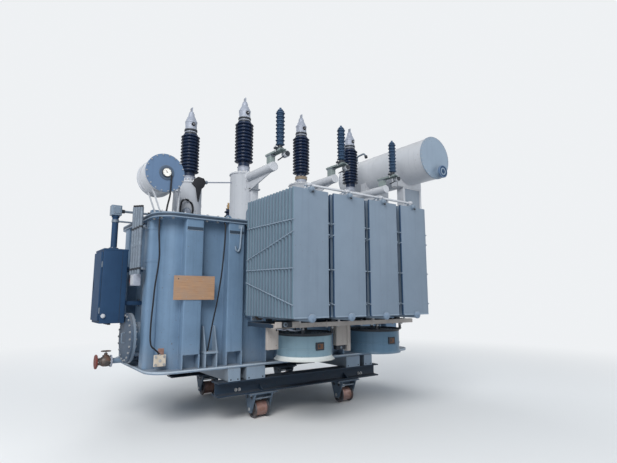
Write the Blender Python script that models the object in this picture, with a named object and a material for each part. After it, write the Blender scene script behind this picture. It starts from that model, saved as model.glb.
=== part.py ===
"""Oil-filled power transformer on rail wheels, with side radiators, fans and top bushings.

X runs along the tank, Y across it with the front at -Y, and Z is up. Heights are counted from
the tread of the wheels, and the root empty lifts them so that the wheel flanges stand at zero.
"""

import math

import bmesh
import bpy
from mathutils import Matrix, Vector

# General
GAP = 0.0003
RUNNING_GAP = 0.02
EMBED = 0.004

# Tank
TANK_LENGTH = 4.66
TANK_WIDTH = 1.76
TANK_CORNER = 0.20
BASE_BOTTOM = 0.73
BASE_THICKNESS = 0.04
RIM_REACH = 0.17
RIM_CORNER = 0.30
RIM_BOTTOM = 2.835
RIM_THICKNESS = 0.035
COVER_THICKNESS = 0.035
RIB_WIDTH = 0.26
RIB_DEPTH = 0.15
RIB_PITCH = 0.65
RIB_COUNT = 7
RIB_FOOT_TOP = 0.96
RIB_FOOT_PLATE = 0.02
END_RIB_Y = (-0.55, 0.55)
JACK_X = 1.655
JACK_WIDTH = 0.21
JACK_REACH = 0.16
JACK_SHELF_TOP = 0.985
JACK_SHELF_THICKNESS = 0.03
JACK_GUSSET_TOP = 1.33
JACK_GUSSET_THICKNESS = 0.02
JACK_GUSSET_INSET = 0.005
JACK_TOE = 0.05

# Undercarriage
BEAM_LENGTH = 3.10
BEAM_BOTTOM = 0.35
BEAM_HEIGHT = 0.20
BEAM_WIDTH = 0.24
BEAM_FLANGE = 0.022
BEAM_WEB = 0.016
SKID_SPANS = ((-1.40, -1.21), (-1.11, -0.80), (0.80, 1.11), (1.21, 1.40))
TRACK_X = 0.83
TRACK_Y = 0.95
TREAD_RADIUS = 0.105
TREAD_WIDTH = 0.18
FLANGE_HEIGHT = 0.025
FLANGE_WIDTH = 0.025
FLANGE_CREST = 0.015
WHEEL_SIDES = 16
AXLE_RADIUS = 0.030
AXLE_CLEARANCE = 0.0006
BOGIE_LENGTH = 0.46
BOGIE_DEPTH = 0.31
BOGIE_PLATE = 0.022
BOGIE_TOE = 0.09
BOGIE_TOE_DROP = 0.055
PIN_REACH = 0.011

# Radiators
RADIATOR_COUNT = 4
RADIATOR_PITCH = 0.643
RADIATOR_SHIFT = -0.065
RADIATOR_WIDTH = 0.56
RADIATOR_BOTTOM = 1.48
RADIATOR_TOP = 3.10
RADIATOR_FACE = 2.55
RADIATOR_DEPTH = 1.19
FIN_COUNT = 12
FIN_THICKNESS = 0.030
HEADER_WIDTH = 0.09
HEADER_CAP_RADIUS = 0.065
HEADER_CAP_REACH = 0.05
HEADER_REACH = 0.025
HEADER_NECK = 0.18
VALVE_FLANGE = 0.17
VALVE_FLANGE_THICKNESS = 0.02
STUB_RADIUS = 0.045
TOP_PIPE_BEND = 0.055

# Fans
FAN_X = (-0.64, 0.71)
FAN_Y = 1.85
FAN_RADIUS = 0.38
FAN_SKIN = 0.012
FAN_BOTTOM = 0.905
FAN_TOP = 1.26
FAN_LIP = 0.05
FAN_LIP_HEIGHT = 0.07
FAN_RING = 0.030
FAN_SIDES = 16
FAN_ARM = 0.03
FAN_MOTOR_RADIUS = 0.10
FAN_MOTOR_HEIGHT = 0.18
FAN_MOTOR_LID = 0.008
FRAME_CHANNEL_HEIGHT = 0.09
FRAME_CHANNEL_WIDTH = 0.06
FRAME_CHANNEL_OFFSET = 0.31
FRAME_OVERHANG = 0.04
FRAME_STRAP = 0.05
FRAME_STRAP_THICKNESS = 0.03

# Bushings
PHASE_X = (-0.76, 0.49, 1.76)
PHASE_Y = -0.15
PHASE_TURRET_TOP = 3.88
PHASE_TURRET_RADIUS = 0.23
NEUTRAL_X = -1.75
NEUTRAL_TURRET_TOP = 3.57
NEUTRAL_TURRET_RADIUS = 0.21
TURRET_FLANGE_REACH = 0.05
TURRET_TOP_REACH = 0.015
TURRET_FLANGE_THICKNESS = 0.03
TURRET_SIDES = 16
BUSHING_SIDES = 10
BUSHING_FOOT_RADIUS = 0.125
BUSHING_CORE = 0.115
BUSHING_SHED = 0.165
BUSHING_SHEDS = 9
BUSHING_NECK = 0.225
BUSHING_PORCELAIN = 0.735
BUSHING_COLLAR = 0.09
BUSHING_CAP = 0.24
BUSHING_CONE = 0.08
BUSHING_CAP_RADIUS = 0.107
BUSHING_TIP_RADIUS = 0.046
BUSHING_PALM = 0.08
PALM_WIDTH = 0.07
PALM_THICKNESS = 0.016
NEUTRAL_NECK = 0.18
NEUTRAL_PORCELAIN = 0.64
NEUTRAL_SCALE = 0.92
SHED_LIP = 0.35
SHED_ROOT = 0.85

# Arresters on their arms
ARM_END_Y = -1.19
ARM_HEIGHT = 3.79
ARM_RADIUS = 0.076
ARM_GUSSET_THICKNESS = 0.02
ARM_GUSSET_DROP = 0.20
ARM_GUSSET_SETBACK = 0.10
ARM_ROOT = 0.14
ARM_POST_WIDTH = 0.09
ARM_POST_SETBACK = 0.04
ARM_POST_DEPTH = 0.13
ARM_POST_HEIGHT = 0.114
ARM_SEAT_BACK = 0.19
ARM_SEAT_MARGIN = 0.09
ARM_SEAT_WIDTH = 0.12
ARM_SEAT_THICKNESS = 0.03
ARRESTER_Y = -1.36
ARRESTER_BASE = 0.065
ARRESTER_FOOT = 0.03
ARRESTER_NECK_BOTTOM = 0.035
ARRESTER_NECK_TOP = 0.055
ARRESTER_NECK_RADIUS = 0.038
ARRESTER_BODY = 0.575
ARRESTER_CORE = 0.046
ARRESTER_SHED = 0.073
ARRESTER_SHEDS = 7
ARRESTER_STUD = 0.05
ARRESTER_STUD_RADIUS = 0.019
ARRESTER_SIDES = 8

# Low-voltage bushings
LOW_X = (-0.70, 0.07, 0.84)
LOW_Y = 0.55
LOW_FLANGE_RADIUS = 0.14
LOW_FLANGE_HEIGHT = 0.06
LOW_FLANGE_EDGE = 0.03
LOW_NECK_RADIUS = 0.072
LOW_CORE = 0.045
LOW_SHED = 0.075
LOW_SHEDS = 5
LOW_PORCELAIN = 0.42
LOW_STUD = 0.12
LOW_STUD_RADIUS = 0.018
LOW_SIDES = 8

# Main conservator
CONSERVATOR_X = 2.72
CONSERVATOR_Z = 4.48
CONSERVATOR_RADIUS = 0.43
CONSERVATOR_FRONT = -1.61
CONSERVATOR_BACK = 0.86
CONSERVATOR_SIDES = 20
CONSERVATOR_END = 0.03
CONSERVATOR_RIM = 0.011
COLUMN_WIDTH = 0.72
COLUMN_DEPTH = 0.18
COLUMN_Y = (-0.85, 0.10)
COLUMN_BOTTOM = 1.55
COLUMN_LUG_HEIGHT = 0.16
COLUMN_LUG_Z = (1.65, 2.55)
COLUMN_X_GAP = 0.02
COLUMN_LUG_INSET = 0.018
SADDLE_HEIGHT = 0.12
SADDLE_SINK = 0.12
GAUGE_X = 0.09
GAUGE_DROP = 0.29
GAUGE_RADIUS = 0.125
GAUGE_NECK_RADIUS = 0.09
GAUGE_REACH = 0.12
GAUGE_DEPTH = 0.04
OIL_PIPE_RADIUS = 0.04
OIL_PIPE_Y = 0.55
OIL_PIPE_FOOT_X = 1.55
OIL_PIPE_LEVEL = 3.30
RELAY_X = 1.95
RELAY_LENGTH = 0.24
RELAY_SIZE = 0.20
RELAY_BODY_LENGTH = 0.168
RELAY_BODY_WIDTH = 0.16
OIL_FLANGE_RADIUS = 0.075
OIL_FLANGE_THICKNESS = 0.02
OIL_PIPE_BEND = 0.12

# Tap changer
HEAD_X = -2.20
HEAD_Y = 0.05
HEAD_RADIUS = 0.21
HEAD_LID_RADIUS = 0.18
HEAD_HEIGHT = 0.09
HEAD_GEAR = 0.14
SHAFT_HEIGHT = 3.03
SHAFT_RADIUS = 0.018
DRIVE_X = -2.79
DRIVE_TUBE_RADIUS = 0.045
DRIVE_FOOT_RADIUS = 0.07
DRIVE_FOOT_HEIGHT = 0.03
DRIVE_STAY_WIDTH = 0.05
DRIVE_STAY_THICKNESS = 0.02
DRIVE_STAY_Z = 2.87
BEVEL_SIZE = 0.15
DRUM_X = -2.42
DRUM_Z = 3.43
DRUM_RADIUS = 0.27
DRUM_FRONT = -1.05
DRUM_LENGTH = 0.42
DRUM_SIDES = 16
DRUM_RIM = 0.02
DRUM_RIM_REACH = 0.0135
DRUM_LEG_WIDTH = 0.05
DRUM_LEG_THICKNESS = 0.012
DRUM_LEG_FACE = 0.018
DRUM_LEG_INSET = 0.105
DRUM_SHOULDER = 0.243
DRUM_FOOT_SPREAD = 0.12
DRUM_FOOT_X = -2.32
CABINET_X = (-2.97, -2.63)
CABINET_Y = (-0.20, 0.36)
CABINET_Z = (1.37, 2.43)
CABINET_DOOR = 0.02
CABINET_BRACKET = 0.06
CABINET_BRACKET_INSET = 0.28
CABINET_BRACKET_MARGIN = 0.10
CABINET_DOOR_MARGIN = 0.035

# End wall fittings
MANHOLE_Y = -0.19
MANHOLE_Z = 1.16
MANHOLE_RADIUS = 0.35
MANHOLE_NECK_RADIUS = 0.22
MANHOLE_REACH = 0.25
MANHOLE_THICKNESS = 0.035
CONDUIT_X = -2.60
CONDUIT_Y = (-0.66, -0.53, -0.40, -0.27)
CONDUIT_RADIUS = 0.025
CONDUIT_BOTTOM = 2.05
CONDUIT_TOP = 3.02
CONDUIT_STEP = 0.02
CONDUIT_CLAMP = 0.03
CONDUIT_CLAMP_Z = (2.13, 2.715)
CONDUIT_RAIL_DEPTH = 0.05
CONDUIT_RAIL_MARGIN = 0.05
JUNCTION_DEPTH = 0.10
JUNCTION_WIDTH = 0.18
JUNCTION_HEIGHT = 0.156
DRAIN_Y = 0.05
DRAIN_Z = 0.825
DRAIN_RADIUS = 0.04
DRAIN_COLLAR = 0.053
DRAIN_FLANGE = 0.085
DRAIN_BODY = 0.075
DRAIN_BODY_X = (-2.86, -2.74)
DRAIN_CAP = 0.10
DRAIN_END = -2.94
DRAIN_STEM = 0.014
DRAIN_STEM_TOP = 0.15
DRAIN_HANDLE = 0.07
DRAIN_HANDLE_THICKNESS = 0.015

# Front wall fittings
BOARD_X = (-2.23, -1.64)
BOARD_Z = (1.70, 2.03)
BOARD_THICKNESS = 0.012
LUG_X = (-2.42, -2.26)
LUG_Z = (0.83, 0.98)
LUG_THICKNESS = 0.016
LUG_FACE_Y = -0.95
LUG_STEM = (-0.032, 0.064)
LEAD_RADIUS = 0.011
LEAD_STEP = 0.06
ROUTE_STEPS = 24
SMOOTH_ANGLE = math.radians(32)

# Free leads on the front, as points chosen along each route
CORNER_LEAD = (
    (-2.428, -0.922, 2.8335), (-2.430, -0.926, 2.760), (-2.432, -0.938, 2.600), (-2.420, -0.940, 2.440),
    (-2.412, -0.940, 2.290), (-2.424, -0.938, 2.120), (-2.450, -0.935, 1.880), (-2.464, -0.935, 1.640),
    (-2.476, -0.932, 1.400), (-2.476, -0.932, 1.200), (-2.455, -0.935, 1.095), (-2.405, -0.940, 1.050),
    (-2.362, -0.942, 1.028), (-2.345, -0.942, 0.9875),
)
RIB_LEAD = (
    (-1.500, -1.010, 2.828), (-1.502, -1.050, 2.780), (-1.515, -1.078, 2.600), (-1.535, -1.090, 2.350),
    (-1.560, -1.098, 2.100), (-1.592, -1.104, 1.870), (-1.628, -1.108, 1.660), (-1.664, -1.110, 1.480),
    (-1.690, -1.104, 1.330), (-1.702, -1.085, 1.200), (-1.704, -1.050, 1.090), (-1.700, -1.005, 0.990),
)

# Worked out from the above
HALF_LENGTH = TANK_LENGTH / 2
HALF_WIDTH = TANK_WIDTH / 2
RIM_HALF_LENGTH = HALF_LENGTH + RIM_REACH
RIM_HALF_WIDTH = HALF_WIDTH + RIM_REACH
BASE_TOP = BASE_BOTTOM + BASE_THICKNESS
RIM_TOP = RIM_BOTTOM + RIM_THICKNESS
COVER_TOP = RIM_TOP + GAP + COVER_THICKNESS
RIB_FACE = HALF_WIDTH + RIB_DEPTH
BEAM_TOP = BEAM_BOTTOM + BEAM_HEIGHT
WHEEL_SHRINK = math.cos(math.pi / WHEEL_SIDES)
WHEEL_WIDTH = TREAD_WIDTH + 2 * FLANGE_WIDTH
SEAT_TOP = ARM_HEIGHT + ARM_RADIUS + ARM_POST_HEIGHT + ARM_SEAT_THICKNESS
HEADER_HALF = HEADER_WIDTH / 2
RADIATOR_BACK = RADIATOR_FACE - RADIATOR_DEPTH
VALVE_FACE = RADIATOR_BACK - HEADER_NECK
WEST_REACH = -CABINET_X[0] + CABINET_DOOR + GAP
EAST_REACH = CONSERVATOR_X + CONSERVATOR_RADIUS

PAINT = ((0.36, 0.44, 0.52), 0.45, 0.0)
WHITE_PAINT = ((0.72, 0.74, 0.74), 0.40, 0.0)
FAN_PAINT = ((0.55, 0.68, 0.72), 0.35, 0.0)
BEAM_PAINT = ((0.05, 0.09, 0.14), 0.50, 0.0)
STEEL = ((0.42, 0.40, 0.38), 0.45, 1.0)
GALVANISED = ((0.55, 0.58, 0.60), 0.40, 0.9)
DARK_PORCELAIN = ((0.012, 0.010, 0.020), 0.12, 0.0)
GREY_POLYMER = ((0.10, 0.14, 0.20), 0.50, 0.0)
PLYWOOD = ((0.55, 0.33, 0.14), 0.70, 0.0)
BLACK_RUBBER = ((0.015, 0.015, 0.018), 0.60, 0.0)


def clear_scene():
    for obj in list(bpy.data.objects):
        bpy.data.objects.remove(obj)


def block(x_range, y_range, z_range):
    """A box between two values on each axis."""
    shape = bmesh.new()
    bmesh.ops.create_cube(shape, size=1.0)
    size = [high - low for low, high in (x_range, y_range, z_range)]
    middle = [(high + low) / 2 for low, high in (x_range, y_range, z_range)]
    bmesh.ops.scale(shape, vec=size, verts=shape.verts)
    bmesh.ops.translate(shape, vec=middle, verts=shape.verts)
    return shape


def rod(start, end, radius, sides=12):
    """A round bar from one point to another."""
    start, end = Vector(start), Vector(end)
    length = (end - start).length
    shape = bmesh.new()
    bmesh.ops.create_cone(
        shape,
        cap_ends=True,
        segments=sides,
        radius1=radius,
        radius2=radius,
        depth=length,
    )
    turn = Vector((0, 0, 1)).rotation_difference((end - start).normalized()).to_matrix().to_4x4()
    bmesh.ops.transform(
        shape, matrix=Matrix.Translation((start + end) / 2) @ turn, verts=shape.verts
    )
    return shape


def prism(outline, axis, low, high):
    """A closed outline, given in the two other axes, extruded along one axis."""
    order = {"X": lambda a, b: (low, a, b), "Y": lambda a, b: (a, low, b), "Z": lambda a, b: (a, b, low)}
    travel = {"X": (high - low, 0, 0), "Y": (0, high - low, 0), "Z": (0, 0, high - low)}
    shape = bmesh.new()
    face = shape.faces.new([shape.verts.new(order[axis](a, b)) for a, b in outline])
    grown = bmesh.ops.extrude_face_region(shape, geom=[face])["geom"]
    far = [item for item in grown if isinstance(item, bmesh.types.BMVert)]
    bmesh.ops.translate(shape, vec=travel[axis], verts=far)
    bmesh.ops.recalc_face_normals(shape, faces=shape.faces)
    return shape


def turned(profile, sides, closed=False):
    """A profile of (radius, height) points turned about Z, closed on the axis or as a ring."""
    shape = bmesh.new()
    points = [shape.verts.new((radius, 0, height)) for radius, height in profile]
    pairs = list(zip(points, points[1:] + points[:1] if closed else points[1:]))
    edges = [shape.edges.new(pair) for pair in pairs]
    bmesh.ops.spin(
        shape, geom=points + edges, cent=(0, 0, 0), axis=(0, 0, 1),
        angle=math.tau, steps=sides, use_merge=True,
    )
    bmesh.ops.remove_doubles(shape, verts=shape.verts, dist=1e-5)
    bmesh.ops.recalc_face_normals(shape, faces=shape.faces)
    return shape


def moved(shape, place=(0, 0, 0), axis=None, angle=0.0):
    """The same shape, turned about an axis through the origin and then moved."""
    if axis:
        turn = Matrix.Rotation(angle, 4, axis)
        bmesh.ops.transform(shape, matrix=turn, verts=shape.verts)
    bmesh.ops.translate(shape, vec=place, verts=shape.verts)
    return shape


def tube(points, radius, bevel_steps=2):
    """A round tube along straight runs between points, with closed ends."""
    curve = bpy.data.curves.new("tube path", "CURVE")
    curve.dimensions = "3D"
    curve.bevel_depth = radius
    curve.bevel_resolution = bevel_steps
    curve.use_fill_caps = True
    spline = curve.splines.new("POLY")
    spline.points.add(len(points) - 1)
    for knot, point in zip(spline.points, points):
        knot.co = (*point, 1.0)
    guide = bpy.data.objects.new("tube guide", curve)
    bpy.context.scene.collection.objects.link(guide)
    graph = bpy.context.evaluated_depsgraph_get()
    mesh = bpy.data.meshes.new_from_object(guide.evaluated_get(graph))
    bpy.data.objects.remove(guide)
    shape = bmesh.new()
    shape.from_mesh(mesh)
    bmesh.ops.remove_doubles(shape, verts=shape.verts, dist=1e-5)
    bmesh.ops.recalc_face_normals(shape, faces=shape.faces)
    return shape


def rounded_bend(points, radius, steps=3):
    """The same run of points with an arc in place of each inner corner."""
    bent = [Vector(points[0])]
    for before, corner, after in zip(points, points[1:], points[2:]):
        corner = Vector(corner)
        inward = (Vector(before) - corner).normalized()
        outward = (Vector(after) - corner).normalized()
        for step in range(steps + 1):
            share = step / steps
            bent.append(
                corner + inward * radius * (1 - share) ** 2 + outward * radius * share**2
            )
    bent.append(Vector(points[-1]))
    return bent


def rounded_rectangle(half_x, half_y, radius, steps=3):
    """An outline with round corners, anticlockwise."""
    outline = []
    for corner, (side_x, side_y) in enumerate(((1, 1), (-1, 1), (-1, -1), (1, -1))):
        for step in range(steps + 1):
            angle = math.pi / 2 * (corner + step / steps)
            outline.append((
                side_x * (half_x - radius) + radius * math.cos(angle),
                side_y * (half_y - radius) + radius * math.sin(angle),
            ))
    return outline


def to_object(shape, name, collection):
    mesh = bpy.data.meshes.new(name)
    shape.to_mesh(mesh)
    shape.free()
    obj = bpy.data.objects.new(name, mesh)
    collection.objects.link(obj)
    return obj


def welded(shapes):
    """One closed mesh, the exact union of overlapping shapes."""
    helpers = bpy.data.collections.new("weld helpers")
    bpy.context.scene.collection.children.link(helpers)
    first = to_object(shapes[0], "weld base", bpy.context.scene.collection)
    extra = [to_object(shape, "weld piece", helpers) for shape in shapes[1:]]
    if extra:
        union = first.modifiers.new("weld", "BOOLEAN")
        union.operation = "UNION"
        union.solver = "EXACT"
        union.operand_type = "COLLECTION"
        union.collection = helpers
    graph = bpy.context.evaluated_depsgraph_get()
    mesh = bpy.data.meshes.new_from_object(first.evaluated_get(graph))
    for obj in [first] + extra:
        bpy.data.objects.remove(obj)
    bpy.data.collections.remove(helpers)
    return mesh


def finish(name, look):
    colour, roughness, metallic = look
    material = bpy.data.materials.new(f"{name} finish")
    material.use_nodes = True
    shader = material.node_tree.nodes["Principled BSDF"]
    shader.inputs["Base Color"].default_value = (*colour, 1.0)
    shader.inputs["Roughness"].default_value = roughness
    shader.inputs["Metallic"].default_value = metallic
    material.diffuse_color = (*colour, 1.0)
    return material


def add_node(name, mesh, look, root, place=(0, 0, 0), turn=0.0):
    """Puts a mesh into the scene as a named piece under the root, turned about Z."""
    mesh = mesh.copy()
    mesh.name = name
    mesh.materials.clear()
    mesh.materials.append(finish(name, look))
    mesh.shade_smooth()
    mesh.set_sharp_from_angle(angle=SMOOTH_ANGLE)
    obj = bpy.data.objects.new(name, mesh)
    bpy.context.scene.collection.objects.link(obj)
    obj.parent = root
    obj.location = place
    obj.rotation_euler = (0, 0, turn)
    return obj


def rib_places():
    return [RIB_PITCH * (index - (RIB_COUNT - 1) / 2) for index in range(RIB_COUNT)]


def radiator_places():
    middle = (RADIATOR_COUNT - 1) / 2
    return [RADIATOR_SHIFT + RADIATOR_PITCH * (index - middle) for index in range(RADIATOR_COUNT)]


def side_rib(x, side):
    """A box stiffener on a long wall, standing on two foot plates."""
    near, far = sorted((side * (HALF_WIDTH - EMBED), side * RIB_FACE))
    left, right = x - RIB_WIDTH / 2, x + RIB_WIDTH / 2
    foot = (BASE_TOP + GAP, RIB_FOOT_TOP + EMBED)
    return [
        block((left, right), (near, far), (RIB_FOOT_TOP, RIM_BOTTOM + EMBED)),
        block((left, left + RIB_FOOT_PLATE), (near, far), foot),
        block((right - RIB_FOOT_PLATE, right), (near, far), foot),
    ]


def end_rib(y, side):
    """A box stiffener on an end wall, standing on the base plate."""
    near, far = sorted((side * (HALF_LENGTH - EMBED), side * (HALF_LENGTH + RIB_DEPTH)))
    return block(
        (near, far), (y - RIB_WIDTH / 2, y + RIB_WIDTH / 2), (BASE_TOP + GAP, RIM_BOTTOM + EMBED)
    )


def jacking_bracket(x, side):
    """A lifting shelf on the wall with a pair of tapered gussets that stand on the base plate."""
    wall = side * (HALF_WIDTH - EMBED)
    reach = side * (HALF_WIDTH + JACK_REACH)
    edge = side * (HALF_WIDTH + JACK_REACH - JACK_GUSSET_INSET)
    toe = side * (HALF_WIDTH + JACK_TOE)
    shelf = (JACK_SHELF_TOP - JACK_SHELF_THICKNESS, JACK_SHELF_TOP)
    outline = [
        (wall, BASE_TOP + GAP), (edge, BASE_TOP + GAP), (edge, JACK_SHELF_TOP),
        (toe, JACK_GUSSET_TOP), (wall, JACK_GUSSET_TOP),
    ]
    shapes = [block((x - JACK_WIDTH / 2, x + JACK_WIDTH / 2), sorted((wall, reach)), shelf)]
    for offset in (-JACK_WIDTH / 2 + JACK_GUSSET_THICKNESS, JACK_WIDTH / 2 - JACK_GUSSET_THICKNESS):
        low = x + offset - JACK_GUSSET_THICKNESS / 2
        shapes.append(prism(outline, "X", low, low + JACK_GUSSET_THICKNESS))
    return shapes


def radiator_stub(x, z, side):
    """A short pipe and a square flange on the tank wall, where a radiator header bolts on."""
    wall = side * (HALF_WIDTH - EMBED)
    face = side * (VALVE_FACE - GAP)
    inner = side * (VALVE_FACE - GAP - VALVE_FLANGE_THICKNESS)
    half = VALVE_FLANGE / 2
    return [
        rod((x, wall, z), (x, inner + side * EMBED, z), STUB_RADIUS, sides=8),
        block((x - half, x + half), sorted((inner, face)), (z - half, z + half)),
    ]


def tank_shell():
    """The welded tank with its rim, stiffeners, jacking brackets and radiator flanges."""
    wall = rounded_rectangle(HALF_LENGTH, HALF_WIDTH, TANK_CORNER)
    rim = rounded_rectangle(RIM_HALF_LENGTH, RIM_HALF_WIDTH, RIM_CORNER)
    shapes = [
        prism(wall, "Z", BASE_TOP + GAP, RIM_TOP - EMBED),
        prism(rim, "Z", RIM_BOTTOM, RIM_TOP),
    ]
    shapes += earth_lug()
    for side in (-1, 1):
        for x in rib_places():
            shapes += side_rib(x, side)
        for x in (-JACK_X, JACK_X):
            shapes += jacking_bracket(x, side)
        for y in END_RIB_Y:
            shapes.append(end_rib(y, side))
        for x in radiator_places():
            shapes += radiator_stub(side * -x, RADIATOR_BOTTOM, side)
    return welded(shapes)


def base_plate():
    """The bottom plate with the cross skids that carry it on the beams."""
    outline = rounded_rectangle(RIM_HALF_LENGTH, RIM_HALF_WIDTH, RIM_CORNER)
    shapes = [prism(outline, "Z", BASE_BOTTOM, BASE_TOP)]
    reach = TRACK_Y + BEAM_WIDTH / 2 - GAP
    for width in SKID_SPANS:
        shapes.append(block(width, (-reach, reach), (BEAM_TOP + GAP, BASE_BOTTOM + EMBED)))
    return welded(shapes)


def cover():
    """The bolted lid, with the same outline as the rim below it."""
    outline = rounded_rectangle(RIM_HALF_LENGTH, RIM_HALF_WIDTH, RIM_CORNER)
    return welded([prism(outline, "Z", RIM_TOP + GAP, COVER_TOP)])


def beam():
    """A rolled joist along X under one long side of the tank."""
    half = BEAM_WIDTH / 2
    web = BEAM_WEB / 2
    low, high = BEAM_BOTTOM, BEAM_TOP
    right = [
        (half, low), (half, low + BEAM_FLANGE), (web, low + BEAM_FLANGE),
        (web, high - BEAM_FLANGE), (half, high - BEAM_FLANGE), (half, high),
    ]
    outline = right + [(-y, z) for y, z in reversed(right)]
    return welded([prism(outline, "X", -BEAM_LENGTH / 2, BEAM_LENGTH / 2)])


def bogie():
    """A top plate and two tapered side plates that hold the axle pin of one wheel."""
    top = BEAM_BOTTOM - GAP
    inner = WHEEL_WIDTH / 2 + RUNNING_GAP
    half = BOGIE_DEPTH / 2
    toe = TREAD_RADIUS - BOGIE_TOE_DROP
    shoulder = top - BOGIE_PLATE / 2
    outline = [
        (-half, shoulder), (-BOGIE_TOE / 2, toe), (BOGIE_TOE / 2, toe), (half, shoulder),
    ]
    shapes = [block((-BOGIE_LENGTH / 2, BOGIE_LENGTH / 2), (-half, half), (top - BOGIE_PLATE, top))]
    for side in (-1, 1):
        low, high = sorted((side * inner, side * (inner + BOGIE_PLATE)))
        shapes.append(prism(outline, "X", low, high))
    pin = inner + BOGIE_PLATE + PIN_REACH
    shapes.append(rod((-pin, 0, TREAD_RADIUS), (pin, 0, TREAD_RADIUS), AXLE_RADIUS))
    return welded(shapes)


def wheel():
    """A wheel with a flange at each side, about X at the origin, with a flat side downwards."""
    bore = (AXLE_RADIUS + AXLE_CLEARANCE) / WHEEL_SHRINK
    tread = TREAD_RADIUS / WHEEL_SHRINK
    flange = (TREAD_RADIUS + FLANGE_HEIGHT) / WHEEL_SHRINK
    side = WHEEL_WIDTH / 2
    half = [(bore, side), (flange, side), (flange, side - FLANGE_CREST), (tread, side - FLANGE_WIDTH)]
    profile = half + [(radius, -level) for radius, level in reversed(half)]
    shape = moved(turned(profile, WHEEL_SIDES, closed=True), axis="Z", angle=math.pi / WHEEL_SIDES)
    return welded([moved(shape, axis="Y", angle=math.pi / 2)])


def radiator():
    """Upright fins on two headers, with its tank side at +Y and its top above the cover."""
    pitch = (RADIATOR_DEPTH - FIN_THICKNESS) / (FIN_COUNT - 1)
    half = RADIATOR_WIDTH / 2
    shapes = []
    for z in (RADIATOR_BOTTOM, RADIATOR_TOP):
        shapes.append(block(
            (-HEADER_HALF, HEADER_HALF),
            (-RADIATOR_FACE - HEADER_REACH, -RADIATOR_BACK + EMBED),
            (z - HEADER_HALF, z + HEADER_HALF),
        ))
        cap_end, cap_root = -RADIATOR_FACE - HEADER_CAP_REACH, -RADIATOR_FACE + EMBED
        shapes.append(rod((0, cap_end, z), (0, cap_root, z), HEADER_CAP_RADIUS, sides=10))
    for index in range(FIN_COUNT):
        outer = -RADIATOR_FACE + index * pitch
        depth = (outer, outer + FIN_THICKNESS)
        shapes.append(block((-half, half), depth, (RADIATOR_BOTTOM, RADIATOR_TOP)))
    flange = VALVE_FLANGE / 2
    plate = (-VALVE_FACE - VALVE_FLANGE_THICKNESS, -VALVE_FACE)
    neck = (0, -RADIATOR_BACK, RADIATOR_BOTTOM), (0, -VALVE_FACE - EMBED, RADIATOR_BOTTOM)
    shapes.append(rod(*neck, STUB_RADIUS, sides=8))
    shapes.append(block(
        (-flange, flange), plate, (RADIATOR_BOTTOM - flange, RADIATOR_BOTTOM + flange)
    ))
    foot = [
        (0, -RADIATOR_BACK, RADIATOR_TOP), (0, -RIM_HALF_WIDTH + VALVE_FLANGE, RADIATOR_TOP),
        (0, -RIM_HALF_WIDTH + VALVE_FLANGE, COVER_TOP + GAP),
    ]
    shapes.append(tube(rounded_bend(foot, TOP_PIPE_BEND, steps=2), STUB_RADIUS, bevel_steps=1))
    flange_top = Vector(foot[2]) + Vector((0, 0, VALVE_FLANGE_THICKNESS))
    shapes.append(rod(foot[2], flange_top, flange, sides=8))
    return welded(shapes)


def fan():
    """An upright ring with a flared lip, and a motor held across its middle."""
    inner = FAN_RADIUS - FAN_SKIN
    ring = FAN_RADIUS + FAN_RING
    lip = FAN_RADIUS + FAN_LIP
    knee = FAN_BOTTOM + FAN_LIP_HEIGHT
    profile = [
        (inner, FAN_TOP), (ring, FAN_TOP), (ring, FAN_TOP - FAN_SKIN), (FAN_RADIUS, FAN_TOP - FAN_SKIN),
        (FAN_RADIUS, knee), (lip, FAN_BOTTOM), (lip - FAN_SKIN, FAN_BOTTOM), (inner, knee - FAN_SKIN / 2),
    ]
    middle = FAN_TOP - FAN_SKIN - FAN_ARM / 2
    reach = inner + FAN_SKIN / 2
    arm = FAN_ARM / 2
    levels = (middle - arm, middle + arm)
    return welded([
        turned(profile, FAN_SIDES, closed=True),
        block((-reach, reach), (-arm, arm), levels),
        block((-arm, arm), (-reach, reach), levels),
        rod((0, 0, middle - FAN_MOTOR_HEIGHT), (0, 0, middle + FAN_MOTOR_LID), FAN_MOTOR_RADIUS, sides=8),
    ])


def fan_frame():
    """Two channels under the radiator headers, with straps down to the fan rings, at +Y = tank."""
    top = RADIATOR_BOTTOM - HEADER_HALF - GAP
    low = top - FRAME_CHANNEL_HEIGHT
    half = FRAME_CHANNEL_WIDTH / 2
    places = radiator_places()
    beyond = RADIATOR_WIDTH / 2 + FRAME_OVERHANG
    span = (places[0] - beyond, places[-1] + beyond)
    shapes = []
    for offset in (-FRAME_CHANNEL_OFFSET, FRAME_CHANNEL_OFFSET):
        y = -FAN_Y + offset
        shapes.append(block(span, (y - half, y + half), (low, top)))
    cross = (-FAN_Y - FRAME_CHANNEL_OFFSET, -FAN_Y + FRAME_CHANNEL_OFFSET)
    for x in (span[0] + half, (FAN_X[0] + FAN_X[1]) / 2, span[1] - half):
        shapes.append(block((x - half, x + half), cross, (low + EMBED, top - EMBED)))
    reach = math.sqrt((FAN_RADIUS + FAN_RING / 2) ** 2 - FRAME_CHANNEL_OFFSET**2)
    strap, thin = FRAME_STRAP / 2, FRAME_STRAP_THICKNESS / 2
    for x in FAN_X:
        for side in (-1, 1):
            for offset in (-FRAME_CHANNEL_OFFSET, FRAME_CHANNEL_OFFSET):
                place, y = x + side * reach, -FAN_Y + offset
                shapes.append(block(
                    (place - strap, place + strap), (y - thin, y + thin), (FAN_TOP + GAP, low + EMBED)
                ))
    return welded(shapes)


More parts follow.
